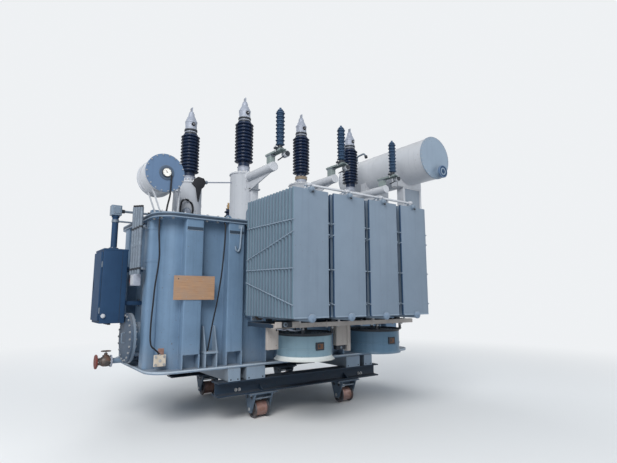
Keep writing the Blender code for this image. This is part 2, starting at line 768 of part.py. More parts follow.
def turret_shapes(radius, top):
    """A round turret on the cover with a flange at each end."""
    bottom = COVER_TOP + GAP
    ring = radius + TURRET_FLANGE_REACH
    return [
        rod((0, 0, bottom), (0, 0, top), radius, TURRET_SIDES),
        rod((0, 0, bottom), (0, 0, bottom + TURRET_FLANGE_THICKNESS), ring, TURRET_SIDES),
        rod((0, 0, top - TURRET_FLANGE_THICKNESS), (0, 0, top), radius + TURRET_TOP_REACH, TURRET_SIDES),
    ]


def phase_turret():
    """A turret with the arm, the post and the seat that carry a surge arrester over the radiators."""
    shapes = turret_shapes(PHASE_TURRET_RADIUS, PHASE_TURRET_TOP)
    reach = ARM_END_Y - PHASE_Y
    shapes.append(rod((0, -ARM_ROOT, ARM_HEIGHT), (0, reach, ARM_HEIGHT), ARM_RADIUS))
    half = ARM_GUSSET_THICKNESS / 2
    under = ARM_HEIGHT - ARM_RADIUS + EMBED
    gusset = [(-ARM_ROOT, under - ARM_GUSSET_DROP), (-ARM_ROOT, under), (reach + ARM_GUSSET_SETBACK, under)]
    shapes.append(prism(gusset, "X", -half, half))
    post = reach + ARM_POST_SETBACK
    seat = SEAT_TOP - ARM_SEAT_THICKNESS
    shapes.append(block(
        (-ARM_POST_WIDTH / 2, ARM_POST_WIDTH / 2), (post, post + ARM_POST_DEPTH), (ARM_HEIGHT, seat + EMBED),
    ))
    shapes.append(block(
        (-ARM_SEAT_WIDTH / 2, ARM_SEAT_WIDTH / 2),
        (ARRESTER_Y - PHASE_Y - ARM_SEAT_MARGIN, reach + ARM_SEAT_BACK), (seat, SEAT_TOP),
    ))
    return welded(shapes)


def neutral_turret():
    """The wide turret of the neutral bushing."""
    return welded(turret_shapes(NEUTRAL_TURRET_RADIUS, NEUTRAL_TURRET_TOP))


def shed_profile(core, shed, count, bottom, height):
    """Points up a ribbed insulator, with a sharp shed in each equal step."""
    step = height / count
    points = []
    for index in range(count):
        level = bottom + index * step
        points += [(shed, level + step * SHED_LIP), (core, level + step * SHED_ROOT)]
    return points


def bushing(neck, porcelain, scale):
    """A ribbed bushing that stands on its turret, with a metal cap and a flat terminal."""
    core, shed = BUSHING_CORE * scale, BUSHING_SHED * scale
    crown, point = BUSHING_CAP_RADIUS * scale, BUSHING_TIP_RADIUS * scale
    foot = BUSHING_FOOT_RADIUS * scale
    collar = neck + porcelain
    cap = collar + BUSHING_COLLAR
    cone = cap + BUSHING_CAP
    tip = cone + BUSHING_CONE
    profile = [
        (0, GAP), (foot, GAP), (foot, TURRET_FLANGE_THICKNESS), (core, TURRET_FLANGE_THICKNESS), (core, neck),
        *shed_profile(core, shed, BUSHING_SHEDS, neck, porcelain),
        (core, collar), (core, cap), (crown, cap), (crown, cone), (point, tip), (0, tip),
    ]
    palm = block(
        (-PALM_THICKNESS / 2, PALM_THICKNESS / 2), (-PALM_WIDTH / 2, PALM_WIDTH / 2),
        (tip - EMBED, tip + BUSHING_PALM),
    )
    return welded([turned(profile, BUSHING_SIDES), palm])


def arrester():
    """A slim ribbed arrester on a clamp, with a stud on top."""
    top = ARRESTER_BASE + ARRESTER_BODY
    profile = [
        (0, GAP), (ARRESTER_CORE, GAP), (ARRESTER_CORE, ARRESTER_FOOT),
        (ARRESTER_NECK_RADIUS, ARRESTER_NECK_BOTTOM), (ARRESTER_NECK_RADIUS, ARRESTER_NECK_TOP),
        *shed_profile(ARRESTER_CORE, ARRESTER_SHED, ARRESTER_SHEDS, ARRESTER_BASE, ARRESTER_BODY),
        (ARRESTER_CORE, top), (0, top),
    ]
    stud = rod((0, 0, top - EMBED), (0, 0, top + ARRESTER_STUD), ARRESTER_STUD_RADIUS, sides=6)
    return welded([turned(profile, ARRESTER_SIDES), stud])


def low_bushing():
    """A small ribbed bushing on a round flange of the cover."""
    bottom = LOW_FLANGE_HEIGHT
    top = bottom + LOW_PORCELAIN
    profile = [
        (0, GAP), (LOW_FLANGE_RADIUS, GAP), (LOW_FLANGE_RADIUS, LOW_FLANGE_EDGE),
        (LOW_NECK_RADIUS, LOW_FLANGE_HEIGHT),
        *shed_profile(LOW_CORE, LOW_SHED, LOW_SHEDS, bottom, LOW_PORCELAIN),
        (LOW_CORE, top), (0, top),
    ]
    stud = rod((0, 0, top - EMBED), (0, 0, top + LOW_STUD), LOW_STUD_RADIUS, sides=8)
    return welded([turned(profile, LOW_SIDES), stud])


def main_conservator():
    """The expansion drum with a flanged end at each side, saddle feet and an oil level gauge."""
    x, z, radius = CONSERVATOR_X, CONSERVATOR_Z, CONSERVATOR_RADIUS
    front, back = CONSERVATOR_FRONT, CONSERVATOR_BACK
    front_ring, back_ring = front + CONSERVATOR_END, back - CONSERVATOR_END
    shapes = [
        rod((x, front_ring, z), (x, back_ring, z), radius - CONSERVATOR_RIM, CONSERVATOR_SIDES),
        rod((x, front, z), (x, front_ring, z), radius, CONSERVATOR_SIDES),
        rod((x, back_ring, z), (x, back, z), radius, CONSERVATOR_SIDES),
    ]
    gauge_x, gauge_z = x + GAUGE_X, z - GAUGE_DROP
    dial = front - GAUGE_REACH
    neck = (gauge_x, front + EMBED, gauge_z), (gauge_x, dial, gauge_z)
    shapes.append(rod(*neck, GAUGE_NECK_RADIUS, sides=10))
    shapes.append(rod((gauge_x, dial + GAUGE_DEPTH, gauge_z), (gauge_x, dial, gauge_z), GAUGE_RADIUS))
    stub = (x, OIL_PIPE_Y, z - radius - OIL_FLANGE_THICKNESS)
    shapes.append(rod((x, OIL_PIPE_Y, z - radius + SADDLE_SINK), stub, OIL_PIPE_RADIUS, sides=8))
    shapes.append(rod((x, OIL_PIPE_Y, stub[2] + OIL_FLANGE_THICKNESS), stub, OIL_FLANGE_RADIUS, sides=8))
    for y in COLUMN_Y:
        shapes.append(block(
            (x - COLUMN_WIDTH / 2, x + COLUMN_WIDTH / 2), (y - COLUMN_DEPTH / 2, y + COLUMN_DEPTH / 2),
            (z - radius - SADDLE_HEIGHT / 2, z - radius + SADDLE_SINK),
        ))
    return welded(shapes)


def conservator_column(y):
    """A box column on two lugs of the end wall, up to the saddle of the drum."""
    left, right = CONSERVATOR_X - COLUMN_WIDTH / 2, CONSERVATOR_X + COLUMN_WIDTH / 2
    left = max(left, RIM_HALF_LENGTH + COLUMN_X_GAP)
    top = CONSERVATOR_Z - CONSERVATOR_RADIUS - SADDLE_HEIGHT / 2 - GAP
    half = COLUMN_DEPTH / 2
    shapes = [block((left, right), (y - half, y + half), (COLUMN_BOTTOM, top))]
    for z in COLUMN_LUG_Z:
        shapes.append(block(
            (HALF_LENGTH + GAP, left + EMBED),
            (y - half + COLUMN_LUG_INSET, y + half - COLUMN_LUG_INSET),
            (z - COLUMN_LUG_HEIGHT / 2, z + COLUMN_LUG_HEIGHT / 2),
        ))
    return welded(shapes)


def oil_pipe_runs():
    """The pipe from the drum to the relay, and the one from the relay to the cover."""
    start = CONSERVATOR_Z - CONSERVATOR_RADIUS - OIL_FLANGE_THICKNESS - GAP
    upper = [
        (CONSERVATOR_X, OIL_PIPE_Y, start), (CONSERVATOR_X, OIL_PIPE_Y, OIL_PIPE_LEVEL),
        (RELAY_X + RELAY_LENGTH / 2 + GAP, OIL_PIPE_Y, OIL_PIPE_LEVEL),
    ]
    lower = [
        (RELAY_X - RELAY_LENGTH / 2 - GAP, OIL_PIPE_Y, OIL_PIPE_LEVEL),
        (OIL_PIPE_FOOT_X, OIL_PIPE_Y, OIL_PIPE_LEVEL), (OIL_PIPE_FOOT_X, OIL_PIPE_Y, COVER_TOP + GAP),
    ]
    return upper, lower


def oil_pipe(run):
    """A bent pipe with a round flange at each end."""
    shapes = [tube(rounded_bend(run, OIL_PIPE_BEND), OIL_PIPE_RADIUS, bevel_steps=1)]
    for end, inner in ((run[0], run[1]), (run[-1], run[-2])):
        end, inner = Vector(end), Vector(inner)
        along = (inner - end).normalized()
        shapes.append(rod(end, end + along * OIL_FLANGE_THICKNESS, OIL_FLANGE_RADIUS, sides=8))
    return welded(shapes)


def gas_relay():
    """The gas relay body between its two flanges."""
    half, size = RELAY_LENGTH / 2, RELAY_SIZE / 2
    body_half, depth = RELAY_BODY_LENGTH / 2, RELAY_BODY_WIDTH / 2
    y, z = OIL_PIPE_Y, OIL_PIPE_LEVEL
    shapes = [
        block((RELAY_X - body_half, RELAY_X + body_half), (y - depth, y + depth), (z - size, z + size)),
        rod((RELAY_X - half, y, z), (RELAY_X + half, y, z), OIL_PIPE_RADIUS, sides=8),
    ]
    for side in (-1, 1):
        outer = RELAY_X + side * half
        shapes.append(rod(
            (outer, y, z), (outer - side * OIL_FLANGE_THICKNESS, y, z), OIL_FLANGE_RADIUS, sides=8
        ))
    return welded(shapes)


def tap_changer_head():
    """The round head of the tap changer on the cover, with its gear box on top."""
    x, y, bottom = HEAD_X, HEAD_Y, COVER_TOP + GAP
    top = bottom + HEAD_HEIGHT
    half = HEAD_GEAR / 2
    return welded([
        rod((x, y, bottom), (x, y, bottom + COVER_THICKNESS), HEAD_RADIUS, TURRET_SIDES),
        rod((x, y, bottom), (x, y, top), HEAD_LID_RADIUS, TURRET_SIDES),
        block((x - half, x + half), (y - half, y + half), (top - EMBED, SHAFT_HEIGHT + half)),
    ])


def tap_drive():
    """The tube from the cabinet up to a bevel gear, its stay, and the level shaft to the head."""
    half = BEVEL_SIZE / 2
    foot = CABINET_Z[1] + GAP
    end = HEAD_X - HEAD_GEAR / 2 - GAP
    width = (HEAD_Y - DRIVE_STAY_WIDTH / 2, HEAD_Y + DRIVE_STAY_WIDTH / 2)
    level = (DRIVE_STAY_Z - DRIVE_STAY_THICKNESS / 2, DRIVE_STAY_Z + DRIVE_STAY_THICKNESS / 2)
    base, top = (DRIVE_X, HEAD_Y, foot), (DRIVE_X, HEAD_Y, SHAFT_HEIGHT)
    return welded([
        block(
            (DRIVE_X - half, DRIVE_X + half), (HEAD_Y - half, HEAD_Y + half),
            (SHAFT_HEIGHT - half, SHAFT_HEIGHT + half),
        ),
        rod(base, top, DRIVE_TUBE_RADIUS, sides=10),
        rod(base, (DRIVE_X, HEAD_Y, foot + DRIVE_FOOT_HEIGHT), DRIVE_FOOT_RADIUS, sides=10),
        rod(top, (end, HEAD_Y, SHAFT_HEIGHT), SHAFT_RADIUS, sides=8),
        block((DRIVE_X, -RIM_HALF_LENGTH - GAP), width, level),
    ])


def tap_changer_drum():
    """The small expansion drum of the tap changer on two pairs of splayed legs."""
    x, z, radius = DRUM_X, DRUM_Z, DRUM_RADIUS
    front, back = DRUM_FRONT, DRUM_FRONT + DRUM_LENGTH
    shapes = [
        rod((x, front + DRUM_RIM, z), (x, back - DRUM_RIM, z), radius - DRUM_RIM_REACH, DRUM_SIDES),
        rod((x, front, z), (x, front + DRUM_RIM, z), radius, DRUM_SIDES),
        rod((x, back - DRUM_RIM, z), (x, back, z), radius, DRUM_SIDES),
    ]
    foot = COVER_TOP + GAP
    thick = DRUM_LEG_THICKNESS
    for y in (front + DRUM_LEG_INSET, back - DRUM_LEG_INSET):
        depth = (y - DRUM_LEG_WIDTH / 2, y + DRUM_LEG_WIDTH / 2)
        for side in (-1, 1):
            shoulder = x + side * DRUM_SHOULDER
            toe = DRUM_FOOT_X + side * DRUM_FOOT_SPREAD
            outline = [
                (shoulder, z), (toe, foot), (toe + DRUM_LEG_FACE, foot), (shoulder + DRUM_LEG_FACE, z),
            ]
            shapes.append(prism(outline, "Y", *depth))
        tie = (DRUM_FOOT_X - DRUM_FOOT_SPREAD, DRUM_FOOT_X + DRUM_FOOT_SPREAD + thick)
        shapes.append(block(tie, depth, (foot, foot + thick)))
    return welded(shapes)


def motor_cabinet():
    """The drive cabinet on two brackets of the end wall, with its door on the outer face."""
    half = CABINET_BRACKET / 2
    shapes = [
        block(CABINET_X, CABINET_Y, CABINET_Z),
        block(
            (CABINET_X[0] - CABINET_DOOR - GAP, CABINET_X[0] + EMBED),
            (CABINET_Y[0] + CABINET_DOOR_MARGIN, CABINET_Y[1] - CABINET_DOOR_MARGIN),
            (CABINET_Z[0] + CABINET_DOOR_MARGIN, CABINET_Z[1] - CABINET_DOOR_MARGIN),
        ),
    ]
    inset, margin = CABINET_BRACKET_INSET, CABINET_BRACKET_MARGIN
    for z in (CABINET_Z[0] + inset, CABINET_Z[1] - inset):
        for y in (CABINET_Y[0] + margin, CABINET_Y[1] - margin):
            shapes.append(block(
                (CABINET_X[1] - EMBED, -HALF_LENGTH - GAP), (y - half, y + half), (z - half, z + half)
            ))
    return welded(shapes)


def end_manhole():
    """A bolted round cover on a short neck of the end wall."""
    y, z = MANHOLE_Y, MANHOLE_Z
    wall = -HALF_LENGTH - GAP
    face = -HALF_LENGTH - MANHOLE_REACH
    return welded([
        rod((wall, y, z), (face, y, z), MANHOLE_NECK_RADIUS, TURRET_SIDES),
        rod((face + MANHOLE_THICKNESS, y, z), (face - MANHOLE_THICKNESS, y, z), MANHOLE_RADIUS, FAN_SIDES),
    ])


def drain_valve():
    """The bottom oil valve out past the base plate, with its hand wheel and its closing cap."""
    y, z = DRAIN_Y, DRAIN_Z
    wall = -HALF_LENGTH - GAP
    body_end, body_root = DRAIN_BODY_X
    thick = OIL_FLANGE_THICKNESS
    stem = (body_end + body_root) / 2
    top = z + DRAIN_STEM_TOP
    return welded([
        rod((wall, y, z), (DRAIN_END, y, z), DRAIN_RADIUS, sides=10),
        rod((wall, y, z), (wall - thick, y, z), DRAIN_COLLAR, sides=10),
        rod((body_root + thick, y, z), (body_root - EMBED, y, z), DRAIN_FLANGE, sides=12),
        rod((body_root, y, z), (body_end, y, z), DRAIN_BODY, sides=10),
        rod((DRAIN_END + thick, y, z), (DRAIN_END, y, z), DRAIN_CAP, sides=12),
        rod((stem, y, z), (stem, y, top), DRAIN_STEM, sides=6),
        rod((stem, y, top - DRAIN_HANDLE_THICKNESS), (stem, y, top), DRAIN_HANDLE, sides=12),
    ])


def conduit_bundle():
    """Cable conduits up the end of the tank on two clamp rails, with a junction box at the foot."""
    radius = CONDUIT_RADIUS
    shapes = []
    low_y, high_y = CONDUIT_Y[0] - CONDUIT_RAIL_MARGIN, CONDUIT_Y[-1] + CONDUIT_RAIL_MARGIN
    rail = (CONDUIT_X - EMBED, CONDUIT_X + CONDUIT_RAIL_DEPTH)
    for z in CONDUIT_CLAMP_Z:
        level = (z - CONDUIT_CLAMP / 2, z + CONDUIT_CLAMP / 2)
        shapes.append(block(rail, (low_y, high_y), level))
        y = END_RIB_Y[0]
        stay = (rail[1] - EMBED, -HALF_LENGTH - RIB_DEPTH - GAP)
        shapes.append(block(stay, (y - radius, y + radius), level))
    for index, y in enumerate(CONDUIT_Y):
        top = CONDUIT_TOP + index * CONDUIT_STEP
        shapes.append(rod((CONDUIT_X, y, CONDUIT_BOTTOM), (CONDUIT_X, y, top), radius, sides=8))
    middle = CONDUIT_Y[1]
    shapes.append(block(
        (CONDUIT_X - JUNCTION_DEPTH / 2, CONDUIT_X + JUNCTION_DEPTH / 2),
        (middle - JUNCTION_WIDTH / 2, middle + JUNCTION_WIDTH / 2),
        (CONDUIT_BOTTOM - JUNCTION_HEIGHT, CONDUIT_BOTTOM + EMBED),
    ))
    return welded(shapes)


def earth_lug():
    """A bolted terminal plate on a short bracket at the front corner of the tank."""
    middle = (LUG_X[0] + LUG_X[1]) / 2
    back = -HALF_WIDTH + TANK_CORNER / 2
    return [
        block(LUG_X, (LUG_FACE_Y, LUG_FACE_Y + LUG_THICKNESS), LUG_Z),
        block(
            (middle + LUG_STEM[0], middle + LUG_STEM[1]), (LUG_FACE_Y + LUG_THICKNESS / 2, back),
            (LUG_Z[0] + LUG_THICKNESS, LUG_Z[1] - LUG_THICKNESS),
        ),
    ]


def smooth_route(points, spacing):
    """Evenly spaced points on a smooth curve through the given ones."""
    knots = [Vector(point) for point in points]
    ends = [knots[0] * 2 - knots[1]] + knots + [knots[-1] * 2 - knots[-2]]
    dense = []
    for a, b, c, d in zip(ends, ends[1:], ends[2:], ends[3:]):
        for step in range(ROUTE_STEPS):
            t = step / ROUTE_STEPS
            dense.append((
                b * 2 + (c - a) * t + (a * 2 - b * 5 + c * 4 - d) * t**2 + (b * 3 - a - c * 3 + d) * t**3
            ) / 2)
    dense.append(knots[-1])
    route, run = [dense[0]], 0.0
    for before, after in zip(dense, dense[1:]):
        run += (after - before).length
        if run >= spacing:
            route.append(after)
            run = 0.0
    route[-1] = knots[-1]
    return route


def lead(points):
    """A free cable along its route."""
    return welded([tube(smooth_route(points, LEAD_STEP), LEAD_RADIUS)])


def sign_board():
    face = -RIB_FACE - GAP
    return welded([block(BOARD_X, (face - BOARD_THICKNESS, face), BOARD_Z)])


def build():
    clear_scene()
    root = bpy.data.objects.new("transformer_root", None)
    bpy.context.scene.collection.objects.link(root)
    root.location = ((WEST_REACH - EAST_REACH) / 2, 0, FLANGE_HEIGHT)

    add_node("tank_shell", tank_shell(), PAINT, root)
    add_node("tank_base_plate", base_plate(), PAINT, root)
    add_node("tank_cover", cover(), PAINT, root)

    beam_mesh, bogie_mesh, wheel_mesh = beam(), bogie(), wheel()
    for side, where in ((-1, "front"), (1, "back")):
        add_node(f"undercarriage_beam_{where}", beam_mesh, BEAM_PAINT, root, (0, side * TRACK_Y, 0))
        for end, hand in ((-1, "left"), (1, "right")):
            place = (end * TRACK_X, side * TRACK_Y, 0)
            add_node(f"bogie_{where}_{hand}", bogie_mesh, GALVANISED, root, place)
            hub = (end * TRACK_X, side * TRACK_Y, TREAD_RADIUS)
            add_node(f"wheel_{where}_{hand}", wheel_mesh, STEEL, root, hub)

    radiator_mesh, fan_mesh, frame_mesh = radiator(), fan(), fan_frame()
    for side, where in ((1, "front"), (-1, "back")):
        turn = 0.0 if side > 0 else math.pi
        for index, x in enumerate(radiator_places()):
            add_node(f"radiator_{where}_{index + 1}", radiator_mesh, PAINT, root, (side * x, 0, 0), turn)
        for x, hand in zip(FAN_X, ("left", "right")):
            add_node(f"fan_{where}_{hand}", fan_mesh, FAN_PAINT, root, (side * x, -side * FAN_Y, 0), turn)
        add_node(f"fan_frame_{where}", frame_mesh, WHITE_PAINT, root, (0, 0, 0), turn)

    phase_mesh = phase_turret()
    bushing_mesh = bushing(BUSHING_NECK, BUSHING_PORCELAIN, 1.0)
    arrester_mesh = arrester()
    for index, x in enumerate(PHASE_X):
        number = index + 1
        add_node(f"phase_turret_{number}", phase_mesh, WHITE_PAINT, root, (x, PHASE_Y, 0))
        top = (x, PHASE_Y, PHASE_TURRET_TOP)
        add_node(f"phase_bushing_{number}", bushing_mesh, DARK_PORCELAIN, root, top)
        add_node(f"surge_arrester_{number}", arrester_mesh, GREY_POLYMER, root, (x, ARRESTER_Y, SEAT_TOP))
    add_node("neutral_turret", neutral_turret(), WHITE_PAINT, root, (NEUTRAL_X, PHASE_Y, 0))
    neutral = bushing(NEUTRAL_NECK, NEUTRAL_PORCELAIN, NEUTRAL_SCALE)
    add_node("neutral_bushing", neutral, DARK_PORCELAIN, root, (NEUTRAL_X, PHASE_Y, NEUTRAL_TURRET_TOP))
    low_mesh = low_bushing()
    for index, x in enumerate(LOW_X):
        place = (x, LOW_Y, COVER_TOP)
        add_node(f"low_voltage_bushing_{index + 1}", low_mesh, DARK_PORCELAIN, root, place)

    add_node("main_conservator", main_conservator(), WHITE_PAINT, root)
    for y, where in zip(COLUMN_Y, ("front", "back")):
        add_node(f"conservator_column_{where}", conservator_column(y), WHITE_PAINT, root)
    for run, name in zip(oil_pipe_runs(), ("oil_pipe_upper", "oil_pipe_lower")):
        add_node(name, oil_pipe(run), PAINT, root)
    add_node("gas_relay", gas_relay(), PAINT, root)

    add_node("tap_changer_head", tap_changer_head(), PAINT, root)
    add_node("tap_changer_drive", tap_drive(), GALVANISED, root)
    add_node("tap_changer_drum", tap_changer_drum(), WHITE_PAINT, root)
    add_node("motor_cabinet", motor_cabinet(), PAINT, root)
    add_node("end_manhole", end_manhole(), PAINT, root)
    add_node("drain_valve", drain_valve(), STEEL, root)
    add_node("conduit_bundle", conduit_bundle(), GALVANISED, root)
    add_node("sign_board", sign_board(), PLYWOOD, root)
    add_node("corner_lead", lead(CORNER_LEAD), BLACK_RUBBER, root)
    add_node("rib_lead", lead(RIB_LEAD), BLACK_RUBBER, root)


build()
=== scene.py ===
import math

import bmesh
import bpy
from mathutils import Matrix, Vector


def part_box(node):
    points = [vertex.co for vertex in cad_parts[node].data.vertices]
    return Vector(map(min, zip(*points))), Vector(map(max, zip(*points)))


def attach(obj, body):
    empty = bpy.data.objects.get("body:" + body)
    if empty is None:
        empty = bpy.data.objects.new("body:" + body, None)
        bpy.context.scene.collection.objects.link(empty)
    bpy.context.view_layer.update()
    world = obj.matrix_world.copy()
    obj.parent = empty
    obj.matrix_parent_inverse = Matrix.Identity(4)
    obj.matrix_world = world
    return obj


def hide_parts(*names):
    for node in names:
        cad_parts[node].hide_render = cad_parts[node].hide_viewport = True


# Every place below is in metres on the tank: X along it, Y across it with the front at -Y, and
# heights counted from the wheel treads. A finished piece is moved once, to the frame's own origin.
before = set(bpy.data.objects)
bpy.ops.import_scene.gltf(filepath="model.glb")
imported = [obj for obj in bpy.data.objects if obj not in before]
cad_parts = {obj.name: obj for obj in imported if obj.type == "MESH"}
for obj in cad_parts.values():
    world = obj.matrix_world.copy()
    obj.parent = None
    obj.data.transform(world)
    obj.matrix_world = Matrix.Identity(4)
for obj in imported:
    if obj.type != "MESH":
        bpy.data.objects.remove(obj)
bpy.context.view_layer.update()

COVER_TOP = 2.9053
CONTACT_GAP = 0.0003
COVER_SEAT = COVER_TOP + CONTACT_GAP
cover_low, cover_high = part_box("tank_cover")
TANK_PLACE = Vector(((cover_low.x + cover_high.x) / 2, 0.0, cover_high.z - COVER_TOP))
ROOT = "transformer"

# Tank
HALF_LENGTH = 2.33
HALF_WIDTH = 0.88
BASE_BOTTOM = 0.73
BASE_TOP = 0.77
RIM_HALF_LENGTH = 2.5
RIM_HALF_WIDTH = 1.05
RIM_CORNER = 0.3
RIM_BOTTOM = 2.835
RIM_TOP = 2.87
RIB_FACE = 1.03
RIB_PLACES = [0.65 * (index - 3) for index in range(7)]
RIB_HALF = 0.13
RIB_FOOT_TOP = 0.96
RIB_TOP = RIM_BOTTOM + 0.002
END_RIB_Y = (-0.55, 0.55)
WALL_FOOT = BASE_TOP + CONTACT_GAP
JACK_PLACES = (-1.655, 1.655)

# Undercarriage
BEAM_BOTTOM = 0.35
BEAM_TOP = 0.55
BEAM_HALF_LENGTH = 1.55
TRACK_X = 0.83
TRACK_Y = 0.95
TREAD_RADIUS = 0.105
SKID_SPANS = ((-1.4, -1.21), (-1.11, -0.8), (0.8, 1.11), (1.21, 1.4))

# Radiators and fans
RADIATOR_PLACES = [-0.065 + 0.643 * (index - 1.5) for index in range(4)]
RADIATOR_BOTTOM = 1.48
RADIATOR_TOP = 3.1
RADIATOR_FACE = -2.55
RADIATOR_BACK = -1.36
VALVE_FACE = -1.18
HEADER_RADIUS = 0.045
FLANGE_HALF = 0.085
FLANGE_BOLTS = 0.06
FIN_COUNT = 16
FIN_HALF = 0.28
FIN_DEPTH = 0.036
FAN_PLACES = (-0.64, 0.71)
FAN_Y = -1.85
FAN_RADIUS = 0.38
FAN_BOTTOM = 0.905
FAN_TOP = 1.26
CHANNEL_TOP = 1.4347
CHANNEL_BOTTOM = 1.3447
CHANNEL_OFFSETS = (-0.31, 0.31)

# Turrets, bushings and arresters
PHASE_X = (-0.76, 0.49, 1.76)
PHASE_Y = -0.15
PHASE_TOP = 3.88
PHASE_RADIUS = 0.23
PHASE_NECK = 0.225
PHASE_PORCELAIN = 0.735
NEUTRAL_X = -1.75
NEUTRAL_TOP = 3.57
NEUTRAL_RADIUS = 0.21
NEUTRAL_NECK = 0.18
NEUTRAL_PORCELAIN = 0.64
NEUTRAL_SCALE = 0.92
ARM_END_Y = -1.19
ARM_HEIGHT = 3.79
ARM_RADIUS = 0.076
ARRESTER_Y = -1.36
ARRESTER_SEAT = 4.01
LOW_X = (-0.7, 0.07, 0.84)
LOW_Y = 0.55

# Conservator, tap changer and end wall
CONSERVATOR_X = 2.72
CONSERVATOR_Z = 4.48
CONSERVATOR_RADIUS = 0.43
CONSERVATOR_FRONT = -1.61
CONSERVATOR_BACK = 0.86
COLUMN_Y = (-0.85, 0.1)
COLUMN_X = (2.52, 3.08)
COLUMN_TOP = 3.9897
COLUMN_FOOT = 1.55
OIL_PIPE_Y = 0.55
OIL_PIPE_Z = 3.3
RELAY_X = 1.95
HEAD_X = -2.2
HEAD_Y = 0.05
DRIVE_X = -2.79
SHAFT_HEIGHT = 3.03
DRUM_X = -2.42
DRUM_Z = 3.43
DRUM_RADIUS = 0.27
DRUM_FRONT = -1.05
DRUM_BACK = -0.63
CABINET_X = (-2.97, -2.63)
CABINET_Y = (-0.2, 0.36)
CABINET_Z = (1.37, 2.43)
MANHOLE_Y = -0.19
MANHOLE_Z = 1.16
CONDUIT_X = -2.6
CONDUIT_Y = (-0.66, -0.53, -0.4, -0.27)
DRAIN_Y = 0.05
DRAIN_Z = 0.825

# Free leads, with the same routes as their solids
LEAD_RADIUS = 0.011
CORNER_LEAD = (
    (-2.428, -0.922, 2.8335), (-2.43, -0.926, 2.76), (-2.432, -0.938, 2.6), (-2.42, -0.94, 2.44),
    (-2.412, -0.94, 2.29), (-2.424, -0.938, 2.12), (-2.45, -0.935, 1.88), (-2.464, -0.935, 1.64),
    (-2.476, -0.932, 1.4), (-2.476, -0.932, 1.2), (-2.455, -0.935, 1.095), (-2.405, -0.94, 1.05),
    (-2.362, -0.942, 1.028), (-2.345, -0.942, 0.9875),
)
RIB_LEAD = (
    (-1.5, -1.01, 2.828), (-1.502, -1.05, 2.78), (-1.515, -1.078, 2.6), (-1.535, -1.09, 2.35),
    (-1.56, -1.098, 2.1), (-1.592, -1.104, 1.87), (-1.628, -1.108, 1.66), (-1.664, -1.11, 1.48),
    (-1.69, -1.104, 1.33), (-1.702, -1.085, 1.2), (-1.704, -1.05, 1.09), (-1.7, -1.005, 0.99),
)

SMOOTH_ANGLE = math.radians(32)
UP = (0, 0, 1)
DOWN = (0, 0, -1)

# Camera, as fitted to the photograph, and the studio's colour
PHOTO_WIDTH = 617
FOCAL_PIXELS = 439.5
SENSOR_WIDTH = 36.0
CAMERA_PLACE = Vector((-4.28, -6.95, 1.736))
CAMERA_ANGLES = (math.radians(98.5), 0.0, math.radians(-36.05))
PALE_BACKGROUND = (0.86, 0.88, 0.9, 1.0)


# Stage: camera, lights and floor

def new_material(name):
    """A material with its node tree and its shader."""
    material = bpy.data.materials.new(name)
    material.use_nodes = True
    return material, material.node_tree, material.node_tree.nodes["Principled BSDF"]


def set_up_camera():
    """A camera that stands where the photograph's own one stood."""
    data = bpy.data.cameras.new("photo view")
    data.sensor_width = SENSOR_WIDTH
    data.lens = FOCAL_PIXELS / PHOTO_WIDTH * SENSOR_WIDTH
    data.clip_end = 200.0
    camera = bpy.data.objects.new("photo view", data)
    bpy.context.scene.collection.objects.link(camera)
    camera.location = CAMERA_PLACE + TANK_PLACE
    camera.rotation_euler = CAMERA_ANGLES
    bpy.context.scene.camera = camera
    bpy.context.scene.view_settings.view_transform = "Standard"


def soft_lamp(name, place, aim, size, power, colour=(1.0, 1.0, 1.0)):
    """A square panel of light turned towards a point."""
    data = bpy.data.lights.new(name, "AREA")
    data.shape = "SQUARE"
    data.size = size
    data.energy = power
    data.color = colour
    lamp = bpy.data.objects.new(name, data)
    bpy.context.scene.collection.objects.link(lamp)
    lamp.location = place
    lamp.rotation_euler = (Vector(aim) - Vector(place)).to_track_quat("-Z", "Y").to_euler()


def pale_world():
    """Soft light from all round, with a pale sheet of colour where the camera and gloss see it."""
    world = bpy.data.worlds.new("pale studio")
    bpy.context.scene.world = world
    world.use_nodes = True
    tree = world.node_tree
    tree.nodes.clear()
    light = tree.nodes.new("ShaderNodeBackground")
    light.inputs["Color"].default_value = (0.86, 0.93, 1.0, 1.0)
    light.inputs["Strength"].default_value = 0.52
    sheet = tree.nodes.new("ShaderNodeBackground")
    sheet.inputs["Color"].default_value = PALE_BACKGROUND
    sheet.inputs["Strength"].default_value = 1.0
    path = tree.nodes.new("ShaderNodeLightPath")
    seen = tree.nodes.new("ShaderNodeMath")
    seen.operation = "MAXIMUM"
    clear = tree.nodes.new("ShaderNodeMath")
    clear.operation = "MAXIMUM"
    mix = tree.nodes.new("ShaderNodeMixShader")
    out = tree.nodes.new("ShaderNodeOutputWorld")
    tree.links.new(path.outputs["Is Camera Ray"], seen.inputs[0])
    tree.links.new(path.outputs["Is Glossy Ray"], seen.inputs[1])
    tree.links.new(seen.outputs[0], clear.inputs[0])
    tree.links.new(path.outputs["Is Transmission Ray"], clear.inputs[1])
    tree.links.new(clear.outputs[0], mix.inputs[0])
    tree.links.new(light.outputs[0], mix.inputs[1])
    tree.links.new(sheet.outputs[0], mix.inputs[2])
    tree.links.new(mix.outputs[0], out.inputs["Surface"])


